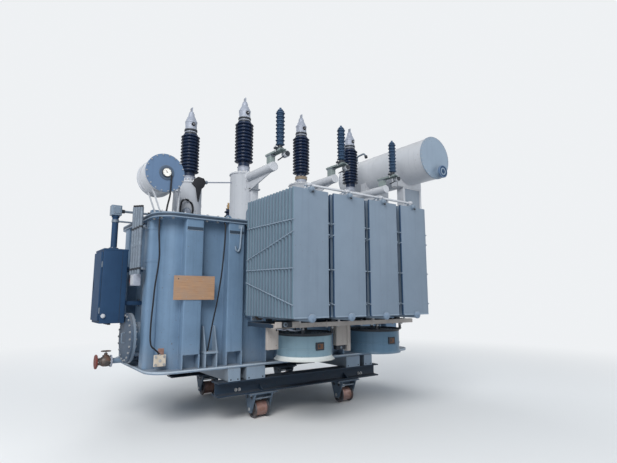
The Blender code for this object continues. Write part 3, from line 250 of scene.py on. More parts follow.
def pale_floor():
    """A wide floor that fades into the background's own colour far from the transformer."""
    shape = bmesh.new()
    bmesh.ops.create_circle(shape, cap_ends=True, segments=96, radius=70.0)
    mesh = bpy.data.meshes.new("studio_floor")
    shape.to_mesh(mesh)
    shape.free()
    floor = bpy.data.objects.new("studio_floor", mesh)
    bpy.context.scene.collection.objects.link(floor)
    material, tree, shader = new_material("pale studio floor")
    shader.inputs["Base Color"].default_value = (0.74, 0.75, 0.76, 1.0)
    shader.inputs["Roughness"].default_value = 0.9
    shader.inputs["Specular IOR Level"].default_value = 0.1
    far = tree.nodes.new("ShaderNodeEmission")
    far.inputs["Color"].default_value = PALE_BACKGROUND
    coords = tree.nodes.new("ShaderNodeTexCoord")
    length = tree.nodes.new("ShaderNodeVectorMath")
    length.operation = "LENGTH"
    fade = tree.nodes.new("ShaderNodeMapRange")
    fade.inputs["From Min"].default_value = 4.0
    fade.inputs["From Max"].default_value = 13.0
    fade.interpolation_type = "SMOOTHSTEP"
    mix = tree.nodes.new("ShaderNodeMixShader")
    tree.links.new(coords.outputs["Object"], length.inputs[0])
    tree.links.new(length.outputs["Value"], fade.inputs["Value"])
    tree.links.new(fade.outputs[0], mix.inputs[0])
    tree.links.new(shader.outputs[0], mix.inputs[1])
    tree.links.new(far.outputs[0], mix.inputs[2])
    tree.links.new(mix.outputs[0], tree.nodes["Material Output"].inputs["Surface"])
    mesh.materials.append(material)


set_up_camera()
pale_world()
pale_floor()
soft_lamp("key panel", (-9.0, -9.0, 10.0), (0.0, 0.0, 2.4), 7.0, 1750.0, (1.0, 0.985, 0.96))
soft_lamp("side panel", (8.0, -9.0, 7.0), (0.0, 0.0, 2.4), 8.0, 260.0, (0.95, 0.98, 1.0))
soft_lamp("back panel", (2.0, 10.0, 9.0), (0.0, 0.0, 2.5), 8.0, 700.0)


# Helpers that join nodes

def wire(tree, source, target):
    """Feeds a socket from another one, or sets it to a plain value."""
    if isinstance(source, bpy.types.NodeSocket):
        tree.links.new(source, target)
    else:
        target.default_value = source


def speckle(tree, coords, scale, detail=3.0, rough=0.55):
    """Soft noise between 0 and 1."""
    made = tree.nodes.new("ShaderNodeTexNoise")
    wire(tree, coords, made.inputs["Vector"])
    wire(tree, scale, made.inputs["Scale"])
    made.inputs["Detail"].default_value = detail
    made.inputs["Roughness"].default_value = rough
    return made.outputs["Fac"]


def between(tree, value, low, high):
    """0 below low, 1 above high, and a straight slope between them."""
    made = tree.nodes.new("ShaderNodeMapRange")
    wire(tree, value, made.inputs["Value"])
    wire(tree, low, made.inputs["From Min"])
    wire(tree, high, made.inputs["From Max"])
    return made.outputs["Result"]


def arithmetic(tree, operation, first, second, clamp=False):
    """One step of arithmetic on two sockets or plain values."""
    made = tree.nodes.new("ShaderNodeMath")
    made.operation = operation
    made.use_clamp = clamp
    wire(tree, first, made.inputs[0])
    wire(tree, second, made.inputs[1])
    return made.outputs[0]


def times(tree, first, second, clamp=False):
    """The product of two sockets or plain values."""
    return arithmetic(tree, "MULTIPLY", first, second, clamp)


def plus(tree, first, second, clamp=False):
    """The sum of two sockets or plain values."""
    return arithmetic(tree, "ADD", first, second, clamp)


def tint(tree, share, first, second):
    """The first colour, turned into the second by a share."""
    made = tree.nodes.new("ShaderNodeMix")
    made.data_type = "RGBA"
    wire(tree, share, made.inputs[0])
    wire(tree, first, made.inputs[6])
    wire(tree, second, made.inputs[7])
    return made.outputs[2]


def stretched(tree, coords, scale):
    """Coordinates that make a pattern long along one axis."""
    made = tree.nodes.new("ShaderNodeMapping")
    wire(tree, coords, made.inputs["Vector"])
    made.inputs["Scale"].default_value = scale
    return made.outputs["Vector"]


def add_relief(tree, shader, height, depth):
    """Feeds a height to the shader's normal, with its depth in metres."""
    bump = tree.nodes.new("ShaderNodeBump")
    bump.inputs["Distance"].default_value = depth
    tree.links.new(height, bump.inputs["Height"])
    tree.links.new(bump.outputs["Normal"], shader.inputs["Normal"])


def new_group(name, inputs, outputs):
    """An empty group of nodes with named sockets."""
    group = bpy.data.node_groups.new(name, "ShaderNodeTree")
    kinds = {"colour": "NodeSocketColor", "value": "NodeSocketFloat"}
    for label, kind in inputs:
        group.interface.new_socket(name=label, in_out="INPUT", socket_type=kinds[kind])
    for label, kind in outputs:
        group.interface.new_socket(name=label, in_out="OUTPUT", socket_type=kinds[kind])
    source = group.nodes.new("NodeGroupInput")
    target = group.nodes.new("NodeGroupOutput")
    return group, source.outputs, target.inputs


def build_paint_wear():
    """Faded patches, run marks, dust on ledges, splash near the ground and small chips on paint."""
    group, given, result = new_group(
        "paint wear",
        [("Paint", "colour"), ("Grime", "colour"), ("Dust", "colour"), ("Bare", "colour"),
         ("Patch Amount", "value"), ("Run Amount", "value"), ("Dust Amount", "value"),
         ("Chip Amount", "value"), ("Splash Height", "value"), ("Gloss Loss", "value")],
        [("Colour", "colour"), ("Roughness", "value"), ("Height", "value")],
    )
    coords = group.nodes.new("ShaderNodeTexCoord").outputs["Object"]
    broad = between(group, speckle(group, coords, 0.9, 4.0), 0.36, 0.66)
    close = between(group, speckle(group, coords, 6.0, 5.0, 0.6), 0.35, 0.7)
    patch = times(group, plus(group, broad, times(group, close, 0.6)), 0.6)
    faded = tint(group, times(group, patch, given["Patch Amount"]), given["Paint"], given["Grime"])

    runs = speckle(group, stretched(group, coords, (16.0, 16.0, 0.7)), 1.0, 4.0, 0.6)
    runs = times(group, between(group, runs, 0.52, 0.74), given["Run Amount"])
    streaked = tint(group, runs, faded, given["Grime"])

    facing = group.nodes.new("ShaderNodeNewGeometry")
    split = group.nodes.new("ShaderNodeSeparateXYZ")
    group.links.new(facing.outputs["Normal"], split.inputs[0])
    ledge = between(group, split.outputs["Z"], 0.25, 0.95)
    settled = times(group, ledge, plus(group, times(group, close, 0.5), 0.5))
    settled = times(group, settled, given["Dust Amount"])

    place = group.nodes.new("ShaderNodeSeparateXYZ")
    group.links.new(coords, place.inputs[0])
    dry = between(group, place.outputs["Z"], 0.0, given["Splash Height"])
    splash = arithmetic(group, "SUBTRACT", 1.0, dry)
    splash = times(group, splash, plus(group, times(group, close, 0.7), 0.15))
    dusty = tint(group, arithmetic(group, "MAXIMUM", settled, splash, True), streaked, given["Dust"])

    flecks = between(group, speckle(group, coords, 38.0, 3.0, 0.5), 0.665, 0.7)
    spread = between(group, speckle(group, coords, 2.1, 2.0), 0.45, 0.62)
    chips = times(group, times(group, flecks, spread), given["Chip Amount"])
    group.links.new(tint(group, chips, dusty, given["Bare"]), result["Colour"])

    rough = plus(group, given["Gloss Loss"], times(group, patch, 0.1))
    rough = plus(group, rough, times(group, settled, 0.25))
    rough = plus(group, rough, times(group, chips, 0.2), True)
    group.links.new(rough, result["Roughness"])

    wave = speckle(group, coords, 2.6, 1.0)
    grain = times(group, speckle(group, coords, 240.0, 2.0), 0.05)
    height = arithmetic(group, "SUBTRACT", plus(group, wave, grain), times(group, chips, 0.06))
    group.links.new(height, result["Height"])
    return group


def build_metal_wear():
    """Spangle, dull patches and rust bloom on bare or plated metal."""
    group, given, result = new_group(
        "metal wear",
        [("Metal", "colour"), ("Dull", "colour"), ("Rust", "colour"), ("Rust Amount", "value"),
         ("Spangle Scale", "value"), ("Base Roughness", "value"), ("Shine", "value")],
        [("Colour", "colour"), ("Roughness", "value"), ("Metallic", "value"), ("Height", "value")],
    )
    coords = group.nodes.new("ShaderNodeTexCoord").outputs["Object"]
    cells = group.nodes.new("ShaderNodeTexVoronoi")
    group.links.new(coords, cells.inputs["Vector"])
    group.links.new(given["Spangle Scale"], cells.inputs["Scale"])
    flake = group.nodes.new("ShaderNodeSeparateColor")
    group.links.new(cells.outputs["Color"], flake.inputs[0])
    cloud = between(group, speckle(group, coords, 7.0, 5.0, 0.6), 0.35, 0.7)
    share = plus(group, times(group, flake.outputs[0], 0.35), times(group, cloud, 0.6))
    dulled = tint(group, share, given["Metal"], given["Dull"])
    bloom = between(group, speckle(group, coords, 9.0, 6.0, 0.65), 0.46, 0.62)
    bloom = times(group, bloom, given["Rust Amount"], True)
    group.links.new(tint(group, bloom, dulled, given["Rust"]), result["Colour"])
    rough = plus(group, given["Base Roughness"], times(group, flake.outputs[0], 0.08))
    rough = plus(group, rough, times(group, bloom, 0.35), True)
    group.links.new(rough, result["Roughness"])
    clean = arithmetic(group, "SUBTRACT", 1.0, bloom)
    group.links.new(times(group, clean, given["Shine"]), result["Metallic"])
    pits = speckle(group, coords, 140.0, 4.0, 0.6)
    group.links.new(times(group, pits, plus(group, bloom, 0.15)), result["Height"])
    return group


PAINT_WEAR = build_paint_wear()
METAL_WEAR = build_metal_wear()
CHALKED_SHINE = 0.22


def new_finish(name, group, values, relief):
    """A material whose colour, roughness and relief come from one of the wear groups."""
    material, tree, shader = new_material(name)
    wear = tree.nodes.new("ShaderNodeGroup")
    wear.node_tree = group
    for label, value in values.items():
        wear.inputs[label].default_value = value
    add_relief(tree, shader, wear.outputs["Height"], relief)
    tree.links.new(wear.outputs["Colour"], shader.inputs["Base Color"])
    tree.links.new(wear.outputs["Roughness"], shader.inputs["Roughness"])
    if "Metallic" in wear.outputs:
        tree.links.new(wear.outputs["Metallic"], shader.inputs["Metallic"])
    return material


def paint(name, colour, grime, patch=0.35, runs=0.25, dust=0.5, chips=0.4, splash=0.9, gloss=0.38,
          relief=0.004):
    """Weathered paint, whose chalked surface reflects less than new gloss does."""
    values = {
        "Paint": (*colour, 1.0), "Grime": (*grime, 1.0), "Dust": (0.36, 0.33, 0.29, 1.0),
        "Bare": (0.1, 0.055, 0.035, 1.0), "Patch Amount": patch, "Run Amount": runs,
        "Dust Amount": dust, "Chip Amount": chips, "Splash Height": splash, "Gloss Loss": gloss,
    }
    material = new_finish(name, PAINT_WEAR, values, relief)
    material.node_tree.nodes["Principled BSDF"].inputs["Specular IOR Level"].default_value = CHALKED_SHINE
    return material


def metal(name, colour, dull, rust_amount=0.1, spangle=60.0, rough=0.35, shine=0.9, relief=0.0015):
    """Bare or plated metal with spangle, dull patches and rust."""
    values = {
        "Metal": (*colour, 1.0), "Dull": (*dull, 1.0), "Rust": (0.17, 0.075, 0.04, 1.0),
        "Rust Amount": rust_amount, "Spangle Scale": spangle, "Base Roughness": rough, "Shine": shine,
    }
    return new_finish(name, METAL_WEAR, values, relief)


# After its two colours, a paint has its shares of faded patches, runs, dust and chips, then the
# height of the splash in metres, its roughness and the depth of its relief.
TANK_PAINT = paint("tank paint", (0.145, 0.23, 0.345), (0.08, 0.132, 0.198), 0.55, 0.45, 0.45, 0.5, 1.15)
RADIATOR_PAINT = paint("radiator paint", (0.165, 0.216, 0.28), (0.105, 0.142, 0.192),
                       0.4, 0.28, 0.3, 0.25, 0.9)
# A darker copy of the radiator paint for the end radiators' outer fin sides: painted shade on the sides
# turned from the light.
FIN_SIDE_SHADE_PAINT = paint("fin side painted shade", (0.105, 0.165, 0.212), (0.07, 0.118, 0.16),
                       0.5, 0.45, 0.2, 0.25, 0.5)
# The fin sides that face a neighbouring radiator are near-navy: painted shade deep in the gaps between
# radiators.
GAP_SHADE_PAINT = paint("shaded fin side painted shade", (0.022, 0.052, 0.105), (0.014, 0.032, 0.066),
                  0.45, 0.4, 0.1, 0.2, 0.3)
WHITE_PAINT = paint("white paint", (0.495, 0.515, 0.555), (0.33, 0.36, 0.4), 0.35, 0.4, 0.35, 0.6, 0.5, 0.4)
# Pale blue-grey paint for drum ends, brackets and ties; as thin bands on the rim's and cover's edges and the
# ribs' notch lips it is a painted highlight.
PALE_BLUE_PAINT_AND_HIGHLIGHT = paint("drum end paint", (0.215, 0.28, 0.36), (0.145, 0.19, 0.25), 0.3, 0.25, 0.3, 0.3, 0.5, 0.36)
CAP_PAINT = paint("header cap paint", (0.165, 0.225, 0.31), (0.105, 0.15, 0.205),
                  0.3, 0.25, 0.3, 0.3, 0.5, 0.36)
LID_PAINT = paint("manhole lid paint", (0.07, 0.102, 0.15), (0.044, 0.064, 0.096),
                  0.5, 0.5, 0.3, 0.5, 0.5, 0.5)
# Pale band along the base plate's top edge: a painted highlight, with chips.
EDGE_HIGHLIGHT_PAINT = paint("painted edge highlight", (0.4, 0.47, 0.54), (0.25, 0.31, 0.38),
                    0.35, 0.3, 0.3, 0.8, 0.5, 0.45)
# Near-black blue: painted shade along the joint of rim and cover, and in the notches of the ribs.
SEAM_SHADE_PAINT = paint("painted seam shade", (0.04, 0.062, 0.095), (0.025, 0.035, 0.05),
                   0.5, 0.4, 0.25, 0.4, 0.5, 0.5)
# Grey-blue for the column's web between its white flanges: painted shade on the recessed face.
COLUMN_WEB_SHADE = paint("painted shade on column web", (0.205, 0.245, 0.3), (0.15, 0.18, 0.215),
                    0.4, 0.4, 0.3, 0.5, 0.5, 0.42)
SMALL_END_PAINT = paint("small drum end paint", (0.1, 0.16, 0.262), (0.07, 0.115, 0.19),
                        0.35, 0.3, 0.3, 0.3, 0.5, 0.36)
FAN_TEAL = paint("fan teal paint", (0.18, 0.275, 0.33), (0.1, 0.17, 0.235), 0.45, 0.35, 0.4, 0.3, 0.6, 0.3)
FAN_BLUE = paint("fan blue paint", (0.085, 0.155, 0.23), (0.05, 0.1, 0.155), 0.4, 0.35, 0.35, 0.3, 0.6, 0.32)
FAN_WHITE = paint("fan lip paint", (0.62, 0.66, 0.66), (0.4, 0.43, 0.43), 0.35, 0.3, 0.35, 0.3, 0.6, 0.35)
# Navy paint made darker still to the shade that the cabinet and drive tube stand in: painted shade.
NAVY_PAINT_AND_SHADE = paint("navy paint darkened as painted shade", (0.016, 0.05, 0.115), (0.01, 0.028, 0.064),
                  0.55, 0.45, 0.06, 0.3, 0.3, 0.62)
RUST_BROWN = paint("rust brown paint", (0.12, 0.06, 0.035), (0.06, 0.034, 0.024),
                   0.6, 0.3, 0.1, 0.5, 0.3, 0.55)
FRAME_PAINT = paint("frame paint", (0.42, 0.39, 0.37), (0.23, 0.21, 0.2), 0.55, 0.5, 0.3, 0.7, 0.5, 0.5)
# Near-black navy paint for the beams; on the fan frame's rear channel and cross bars it is painted shade.
BEAM_PAINT_AND_SHADE = paint("dark beam paint and painted shade", (0.013, 0.028, 0.052), (0.02, 0.03, 0.044), 0.45, 0.35, 0.12, 0.5, 0.1, 0.45)
# The bogie's own paint darkened to the shadow under the tank: painted shadow.
BOGIE_SHADOW_PAINT = paint("bogie paint with painted shadow", (0.095, 0.135, 0.19), (0.04, 0.056, 0.076), 0.6, 0.5, 0.3, 0.9, 0.12, 0.5)
CREAM_PAINT = paint("terminal plate paint", (0.58, 0.52, 0.44), (0.3, 0.25, 0.2),
                    0.5, 0.4, 0.4, 1.0, 0.8, 0.45)
RED_PAINT = paint("valve end paint", (0.2, 0.042, 0.032), (0.075, 0.03, 0.025), 0.6, 0.5, 0.1, 0.9, 0.2, 0.5)
CLAMP_TAN = paint("rusty clamp paint", (0.3, 0.25, 0.19), (0.15, 0.095, 0.06), 0.65, 0.35, 0.2, 0.9, 0.3, 0.5)
SEAT_GREY = paint("seat grey paint", (0.23, 0.28, 0.28), (0.14, 0.17, 0.17), 0.45, 0.35, 0.3, 0.8, 0.3, 0.5)
# Near-black paint for motors, blades and small dark parts; as the fan's top rim it is painted shade.
DARK_PAINT_AND_SHADE = paint("dark paint and painted shade", (0.022, 0.028, 0.038), (0.036, 0.038, 0.042),
                   0.4, 0.3, 0.1, 0.3, 0.3, 0.42)
BLACK_RUBBER = paint("black rubber", (0.01, 0.011, 0.015), (0.02, 0.021, 0.025),
                     0.5, 0.25, 0.1, 0.0, 0.2, 0.5, 0.001)
PORCELAIN = paint("dark porcelain", (0.006, 0.016, 0.046), (0.012, 0.024, 0.05),
                  0.4, 0.3, 0.04, 0.0, 0.3, 0.34, 0.0008)
POLYMER = paint("arrester polymer", (0.036, 0.074, 0.138), (0.026, 0.05, 0.094),
                0.45, 0.25, 0.06, 0.0, 0.3, 0.5, 0.0008)

# After its two colours, a metal has its share of rust, the scale of its spangle, its roughness and shine.
GALVANISED = metal("galvanised steel", (0.165, 0.205, 0.255), (0.11, 0.14, 0.18), 0.03, 45.0, 0.52, 0.3)
BOLT_STEEL = metal("plated bolt steel", (0.42, 0.44, 0.46), (0.22, 0.23, 0.25), 0.14, 120.0, 0.44, 0.55)
CAP_METAL = metal("bushing cap metal", (0.32, 0.35, 0.42), (0.22, 0.25, 0.31), 0.04, 30.0, 0.55, 0.2)
BRASS = metal("terminal brass", (0.42, 0.3, 0.15), (0.22, 0.15, 0.09), 0.3, 60.0, 0.4, 0.9)
VALVE_IRON = metal("valve iron", (0.11, 0.1, 0.095), (0.05, 0.045, 0.042), 0.65, 40.0, 0.5, 0.6)
WHEEL_STEEL = metal("wheel steel", (0.11, 0.12, 0.14), (0.05, 0.052, 0.058), 0.4, 30.0, 0.5, 0.6)
TREAD_STEEL = metal("rusty tread steel", (0.36, 0.25, 0.23), (0.2, 0.09, 0.075), 0.6, 14.0, 0.42, 0.5)


def plywood_finish():
    """Sanded ply with long grain and stains."""
    material, tree, shader = new_material("plywood")
    coords = tree.nodes.new("ShaderNodeTexCoord").outputs["Object"]
    grain = speckle(tree, stretched(tree, coords, (3.0, 30.0, 60.0)), 1.6, 6.0, 0.65)
    stain = between(tree, speckle(tree, coords, 7.0, 5.0, 0.65), 0.42, 0.66)
    base = tint(tree, between(tree, grain, 0.3, 0.72), (0.44, 0.27, 0.165, 1.0), (0.28, 0.165, 0.1, 1.0))
    aged = tint(tree, times(tree, stain, 0.65), base, (0.3, 0.22, 0.17, 1.0))
    tree.links.new(aged, shader.inputs["Base Color"])
    shader.inputs["Specular IOR Level"].default_value = CHALKED_SHINE
    tree.links.new(plus(tree, times(tree, grain, 0.2), 0.55), shader.inputs["Roughness"])
    add_relief(tree, shader, grain, 0.001)
    return material


def dial_finish():
    """A white instrument face with faint yellow patches."""
    material, tree, shader = new_material("dial face")
    coords = tree.nodes.new("ShaderNodeTexCoord").outputs["Object"]
    haze = between(tree, speckle(tree, coords, 30.0, 3.0), 0.4, 0.7)
    tree.links.new(
        tint(tree, times(tree, haze, 0.3), (0.74, 0.74, 0.71, 1.0), (0.58, 0.56, 0.48, 1.0)),
        shader.inputs["Base Color"],
    )
    shader.inputs["Roughness"].default_value = 0.35
    shader.inputs["Coat Weight"].default_value = 0.4
    shader.inputs["Coat Roughness"].default_value = 0.15
    return material


PLYWOOD = plywood_finish()
DIAL_FACE = dial_finish()


# Shapes, each in its own mesh until it joins a piece

def about(middle, half):
    """The two values that lie evenly on both sides of a middle."""
    return middle - half, middle + half


def raised(level, profile):
    """The same profile with its heights counted from a level."""
    return [(radius, level + height) for radius, height in profile]


def corners(half_across, half_up):
    """The four corners of a rectangle round zero."""
    return [(across, up) for across in (-half_across, half_across) for up in (-half_up, half_up)]


def chamfered(shape, edges, width, segments=1):
    """The same shape with some of its edges cut back or rounded."""
    bmesh.ops.bevel(
        shape, geom=list(edges), offset=width, offset_type="OFFSET", segments=segments,
        profile=0.5, affect="EDGES", material=-1, clamp_overlap=True,
    )
    return shape


def block(x_range, y_range, z_range, edge=0.003, segments=1):
    """A bar or plate between two values on each axis, with its edges broken."""
    shape = bmesh.new()
    bmesh.ops.create_cube(shape, size=1.0)
    ranges = (sorted(x_range), sorted(y_range), sorted(z_range))
    size = [high - low for low, high in ranges]
    bmesh.ops.scale(shape, vec=size, verts=shape.verts)
    bmesh.ops.translate(shape, vec=[(high + low) / 2 for low, high in ranges], verts=shape.verts)
    if edge:
        chamfered(shape, shape.edges, min(edge, min(size) * 0.4), segments)
    return shape


def folded_box(x_range, y_range, z_range, along, radius=0.02, segments=4, edge=0.002):
    """A box whose long edges along one axis are bent with a radius."""
    shape = block(x_range, y_range, z_range, edge=0)
    axis = "XYZ".index(along)
    long_edges = [
        item for item in shape.edges
        if abs(item.verts[0].co[axis] - item.verts[1].co[axis]) > 1e-6
    ]
    chamfered(shape, long_edges, radius, segments)
    if edge:
        rims = [item for item in shape.edges if item.calc_face_angle(0) > math.radians(60)]
        chamfered(shape, rims, edge)
    return shape


def rod(start, end, radius, sides=20, edge=0.0, end_radius=None):
    """A round bar or a cone from one point to another."""
    start, end = Vector(start), Vector(end)
    shape = bmesh.new()
    bmesh.ops.create_cone(
        shape, cap_ends=True, segments=sides, radius1=radius,
        radius2=radius if end_radius is None else end_radius, depth=(end - start).length,
    )
    if edge:
        rims = [item for item in shape.edges if any(len(face.verts) > 4 for face in item.link_faces)]
        chamfered(shape, rims, edge, 2)
    turn = Vector((0, 0, 1)).rotation_difference((end - start).normalized()).to_matrix().to_4x4()
    bmesh.ops.transform(shape, matrix=Matrix.Translation((start + end) / 2) @ turn, verts=shape.verts)
    return shape


def turned(profile, sides=32, closed=False):
    """A profile of (radius, height) points turned about Z, closed on the axis or as a ring."""
    shape = bmesh.new()
    points = [shape.verts.new((radius, 0, height)) for radius, height in profile]
    pairs = zip(points, points[1:] + points[:1] if closed else points[1:])
    edges = [shape.edges.new(pair) for pair in pairs]
    bmesh.ops.spin(
        shape, geom=points + edges, cent=(0, 0, 0), axis=(0, 0, 1),
        angle=math.tau, steps=sides, use_merge=True,
    )
    bmesh.ops.remove_doubles(shape, verts=shape.verts, dist=1e-5)
    bmesh.ops.recalc_face_normals(shape, faces=shape.faces)
    return shape


def prism(outline, axis, low, high, edge=0.0, segments=1):
    """A closed outline, given in the two other axes, extruded along one axis."""
    order = {"X": lambda a, b: (low, a, b), "Y": lambda a, b: (a, low, b), "Z": lambda a, b: (a, b, low)}
    travel = {"X": (high - low, 0, 0), "Y": (0, high - low, 0), "Z": (0, 0, high - low)}
    shape = bmesh.new()
    face = shape.faces.new([shape.verts.new(order[axis](a, b)) for a, b in outline])
    grown = bmesh.ops.extrude_face_region(shape, geom=[face])["geom"]
    far = [item for item in grown if isinstance(item, bmesh.types.BMVert)]
    bmesh.ops.translate(shape, vec=travel[axis], verts=far)
    bmesh.ops.recalc_face_normals(shape, faces=shape.faces)
    if edge:
        rims = [item for item in shape.edges if item.calc_face_angle(0) > math.radians(40)]
        chamfered(shape, rims, edge, segments)
    return shape


def round_curve(name, radius, sides):
    """An empty curve that has a round section and closed ends."""
    curve = bpy.data.curves.new(name, "CURVE")
    curve.dimensions = "3D"
    curve.bevel_depth = radius
    curve.bevel_resolution = sides
    curve.use_fill_caps = True
    return curve


def pipe(points, radius, sides=3):
    """A round pipe along a run of points, with closed ends."""
    curve = round_curve("pipe run", radius, sides)
    spline = curve.splines.new("POLY")
    spline.points.add(len(points) - 1)
    for knot, point in zip(spline.points, points):
        knot.co = (*point, 1.0)
    guide = bpy.data.objects.new("pipe run", curve)
    bpy.context.scene.collection.objects.link(guide)
    graph = bpy.context.evaluated_depsgraph_get()
    mesh = bpy.data.meshes.new_from_object(guide.evaluated_get(graph))
    bpy.data.objects.remove(guide)
    bpy.data.curves.remove(curve)
    shape = bmesh.new()
    shape.from_mesh(mesh)
    bpy.data.meshes.remove(mesh)
    bmesh.ops.remove_doubles(shape, verts=shape.verts, dist=1e-5)
    bmesh.ops.recalc_face_normals(shape, faces=shape.faces)
    return shape


def rounded_bend(points, radius, steps=6):
    """The same run of points with an arc in place of each inner corner."""
    bent = [Vector(points[0])]
    for before, corner, after in zip(points, points[1:], points[2:]):
        corner = Vector(corner)
        inward = (Vector(before) - corner).normalized()
        outward = (Vector(after) - corner).normalized()
        for step in range(steps + 1):
            share = step / steps
            bent.append(corner + inward * radius * (1 - share) ** 2 + outward * radius * share**2)
    bent.append(Vector(points[-1]))
    return bent


def rounded_rectangle(half_x, half_y, radius, steps=12):
    """An outline with round corners, anticlockwise."""
    outline = []
    for corner, (side_x, side_y) in enumerate(((1, 1), (-1, 1), (-1, -1), (1, -1))):
        for step in range(steps + 1):
            angle = math.pi / 2 * (corner + step / steps)
            outline.append((
                side_x * (half_x - radius) + radius * math.cos(angle),
                side_y * (half_y - radius) + radius * math.sin(angle),
            ))
    return outline


def placed(shape, place=(0, 0, 0), axis=None, angle=0.0):
    """The same shape, turned about an axis through the origin and then moved."""
    if axis:
        bmesh.ops.transform(shape, matrix=Matrix.Rotation(angle, 4, axis), verts=shape.verts)
    bmesh.ops.translate(shape, vec=place, verts=shape.verts)
    return shape


def aimed(shape, place, direction):
    """A shape made along Z, turned to point another way and moved."""
    turn = Vector((0, 0, 1)).rotation_difference(Vector(direction).normalized()).to_matrix().to_4x4()
    bmesh.ops.transform(shape, matrix=Matrix.Translation(place) @ turn, verts=shape.verts)
    return shape


class Piece:
    """One piece in the making: the shapes it has so far and the finishes that they wear."""

    def __init__(self, name):
        self.name = name
        self.shape = bmesh.new()
        self.finishes = []

    def add(self, shape, finish):
        """Joins a shape to the piece, with the finish that it wears."""
        if finish not in self.finishes:
            self.finishes.append(finish)
        number = self.finishes.index(finish)
        for face in shape.faces:
            face.material_index = number
        mesh = bpy.data.meshes.new("joined shape")
        shape.to_mesh(mesh)
        self.shape.from_mesh(mesh)
        bpy.data.meshes.remove(mesh)
        shape.free()

    def turn(self, profile, sides, place, finish, closed=False):
        """Adds a profile that is turned about the upright through a place."""
        self.add(placed(turned(profile, sides, closed), place), finish)

    def bolt(self, place, direction, size=0.03, washer=True):
        """A hexagon head on a washer, standing on a face."""
        height = size * 0.6
        base = Vector(place)
        way = Vector(direction).normalized()
        if washer:
            self.add(rod(base, base + way * size * 0.12, size * 0.72, 10), BOLT_STEEL)
        self.add(rod(base, base + way * height, size * 0.5, 6), BOLT_STEEL)

    def bolt_ring(self, centre, direction, radius, count, size=0.024, start=0.0):
        """Bolts evenly round a flange."""
        turn = Vector((0, 0, 1)).rotation_difference(Vector(direction).normalized()).to_matrix()
        for index in range(count):
            angle = start + math.tau * index / count
            offset = turn @ Vector((radius * math.cos(angle), radius * math.sin(angle), 0))
            self.bolt(Vector(centre) + offset, direction, size, washer=False)

    def moved_copy(self, name, place, angle=0.0):
        """The same piece elsewhere, turned about Z first."""
        other = Piece(name)
        other.shape = self.shape.copy()
        other.finishes = list(self.finishes)
        matrix = Matrix.Translation(place) @ Matrix.Rotation(angle, 4, "Z")
        bmesh.ops.transform(other.shape, matrix=matrix, verts=other.shape.verts)
        return other

    def done(self, slot, *nodes, body=ROOT, angle=SMOOTH_ANGLE):
        """Puts the piece in place on its body, in place of the solids it stands for."""
        bmesh.ops.translate(self.shape, vec=TANK_PLACE, verts=self.shape.verts)
        mesh = bpy.data.meshes.new(self.name)
        self.shape.to_mesh(mesh)
        self.shape.free()
        for finish in self.finishes:
            mesh.materials.append(finish)
        mesh.shade_smooth()
        mesh.set_sharp_from_angle(angle=angle)
        made = bpy.data.objects.new(self.name, mesh)
        bpy.context.scene.collection.objects.link(made)
        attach(made, body)
        if nodes:
            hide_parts(*nodes)
        return made


# Free leads

def smooth_route(points, spacing=0.06, fine=24):
    """Evenly spaced points on a smooth curve through the given ones."""
    knots = [Vector(point) for point in points]
    ends = [knots[0] * 2 - knots[1]] + knots + [knots[-1] * 2 - knots[-2]]
    dense = []
    for a, b, c, d in zip(ends, ends[1:], ends[2:], ends[3:]):
        for step in range(fine):
            t = step / fine
            dense.append((
                b * 2 + (c - a) * t + (a * 2 - b * 5 + c * 4 - d) * t**2 + (b * 3 - a - c * 3 + d) * t**3
            ) / 2)
    dense.append(knots[-1])
    route, run = [dense[0]], 0.0
    for before, after in zip(dense, dense[1:]):
        run += (after - before).length
        if run >= spacing:
            route.append(after)
            run = 0.0
    route[-1] = knots[-1]
    return route


def hang_lead(name, node, points):
    """A rubber lead that hangs from under the rim down to its terminal."""
    route = [point + TANK_PLACE for point in smooth_route(points)]
    curve = round_curve(name, LEAD_RADIUS, 3)
    curve.resolution_u = 4
    spline = curve.splines.new("BEZIER")
    spline.bezier_points.add(len(route) - 1)
    for knot, point in zip(spline.bezier_points, route):
        knot.co = point
        knot.handle_left_type = "AUTO"
        knot.handle_right_type = "AUTO"
    curve.materials.append(BLACK_RUBBER)
    lead = bpy.data.objects.new(name, curve)
    bpy.context.scene.collection.objects.link(lead)
    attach(lead, ROOT)
    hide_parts(node)


hang_lead("corner_earth_lead", "corner_lead", CORNER_LEAD)
hang_lead("rib_earth_lead", "rib_lead", RIB_LEAD)


# Pieces

def along_outline(half_x, half_y, radius, spacing):
    """Points at an even spacing round a rounded rectangle."""
    outline = [Vector((*point, 0)) for point in rounded_rectangle(half_x, half_y, radius)]
    loop = outline + outline[:1]
    total = sum((after - before).length for before, after in zip(loop, loop[1:]))
    count = round(total / spacing)
    step = total / count
    places, run = [], step / 2
    for before, after in zip(loop, loop[1:]):
        span = (after - before).length
        while run < span:
            places.append(before.lerp(after, run / span))
            run += step
        run -= span
    return places


RIM_BOLTS = along_outline(RIM_HALF_LENGTH - 0.05, RIM_HALF_WIDTH - 0.05, 0.25, 0.165)


def edge_band(low, high):
    """A thin band round the outer edge of the base plate, the rim or the cover, which carries painted
    highlight and painted shade lines.
    """
    coat = 0.0008
    outline = rounded_rectangle(RIM_HALF_LENGTH + coat, RIM_HALF_WIDTH + coat, RIM_CORNER)
    return prism(outline, "Z", low, high)


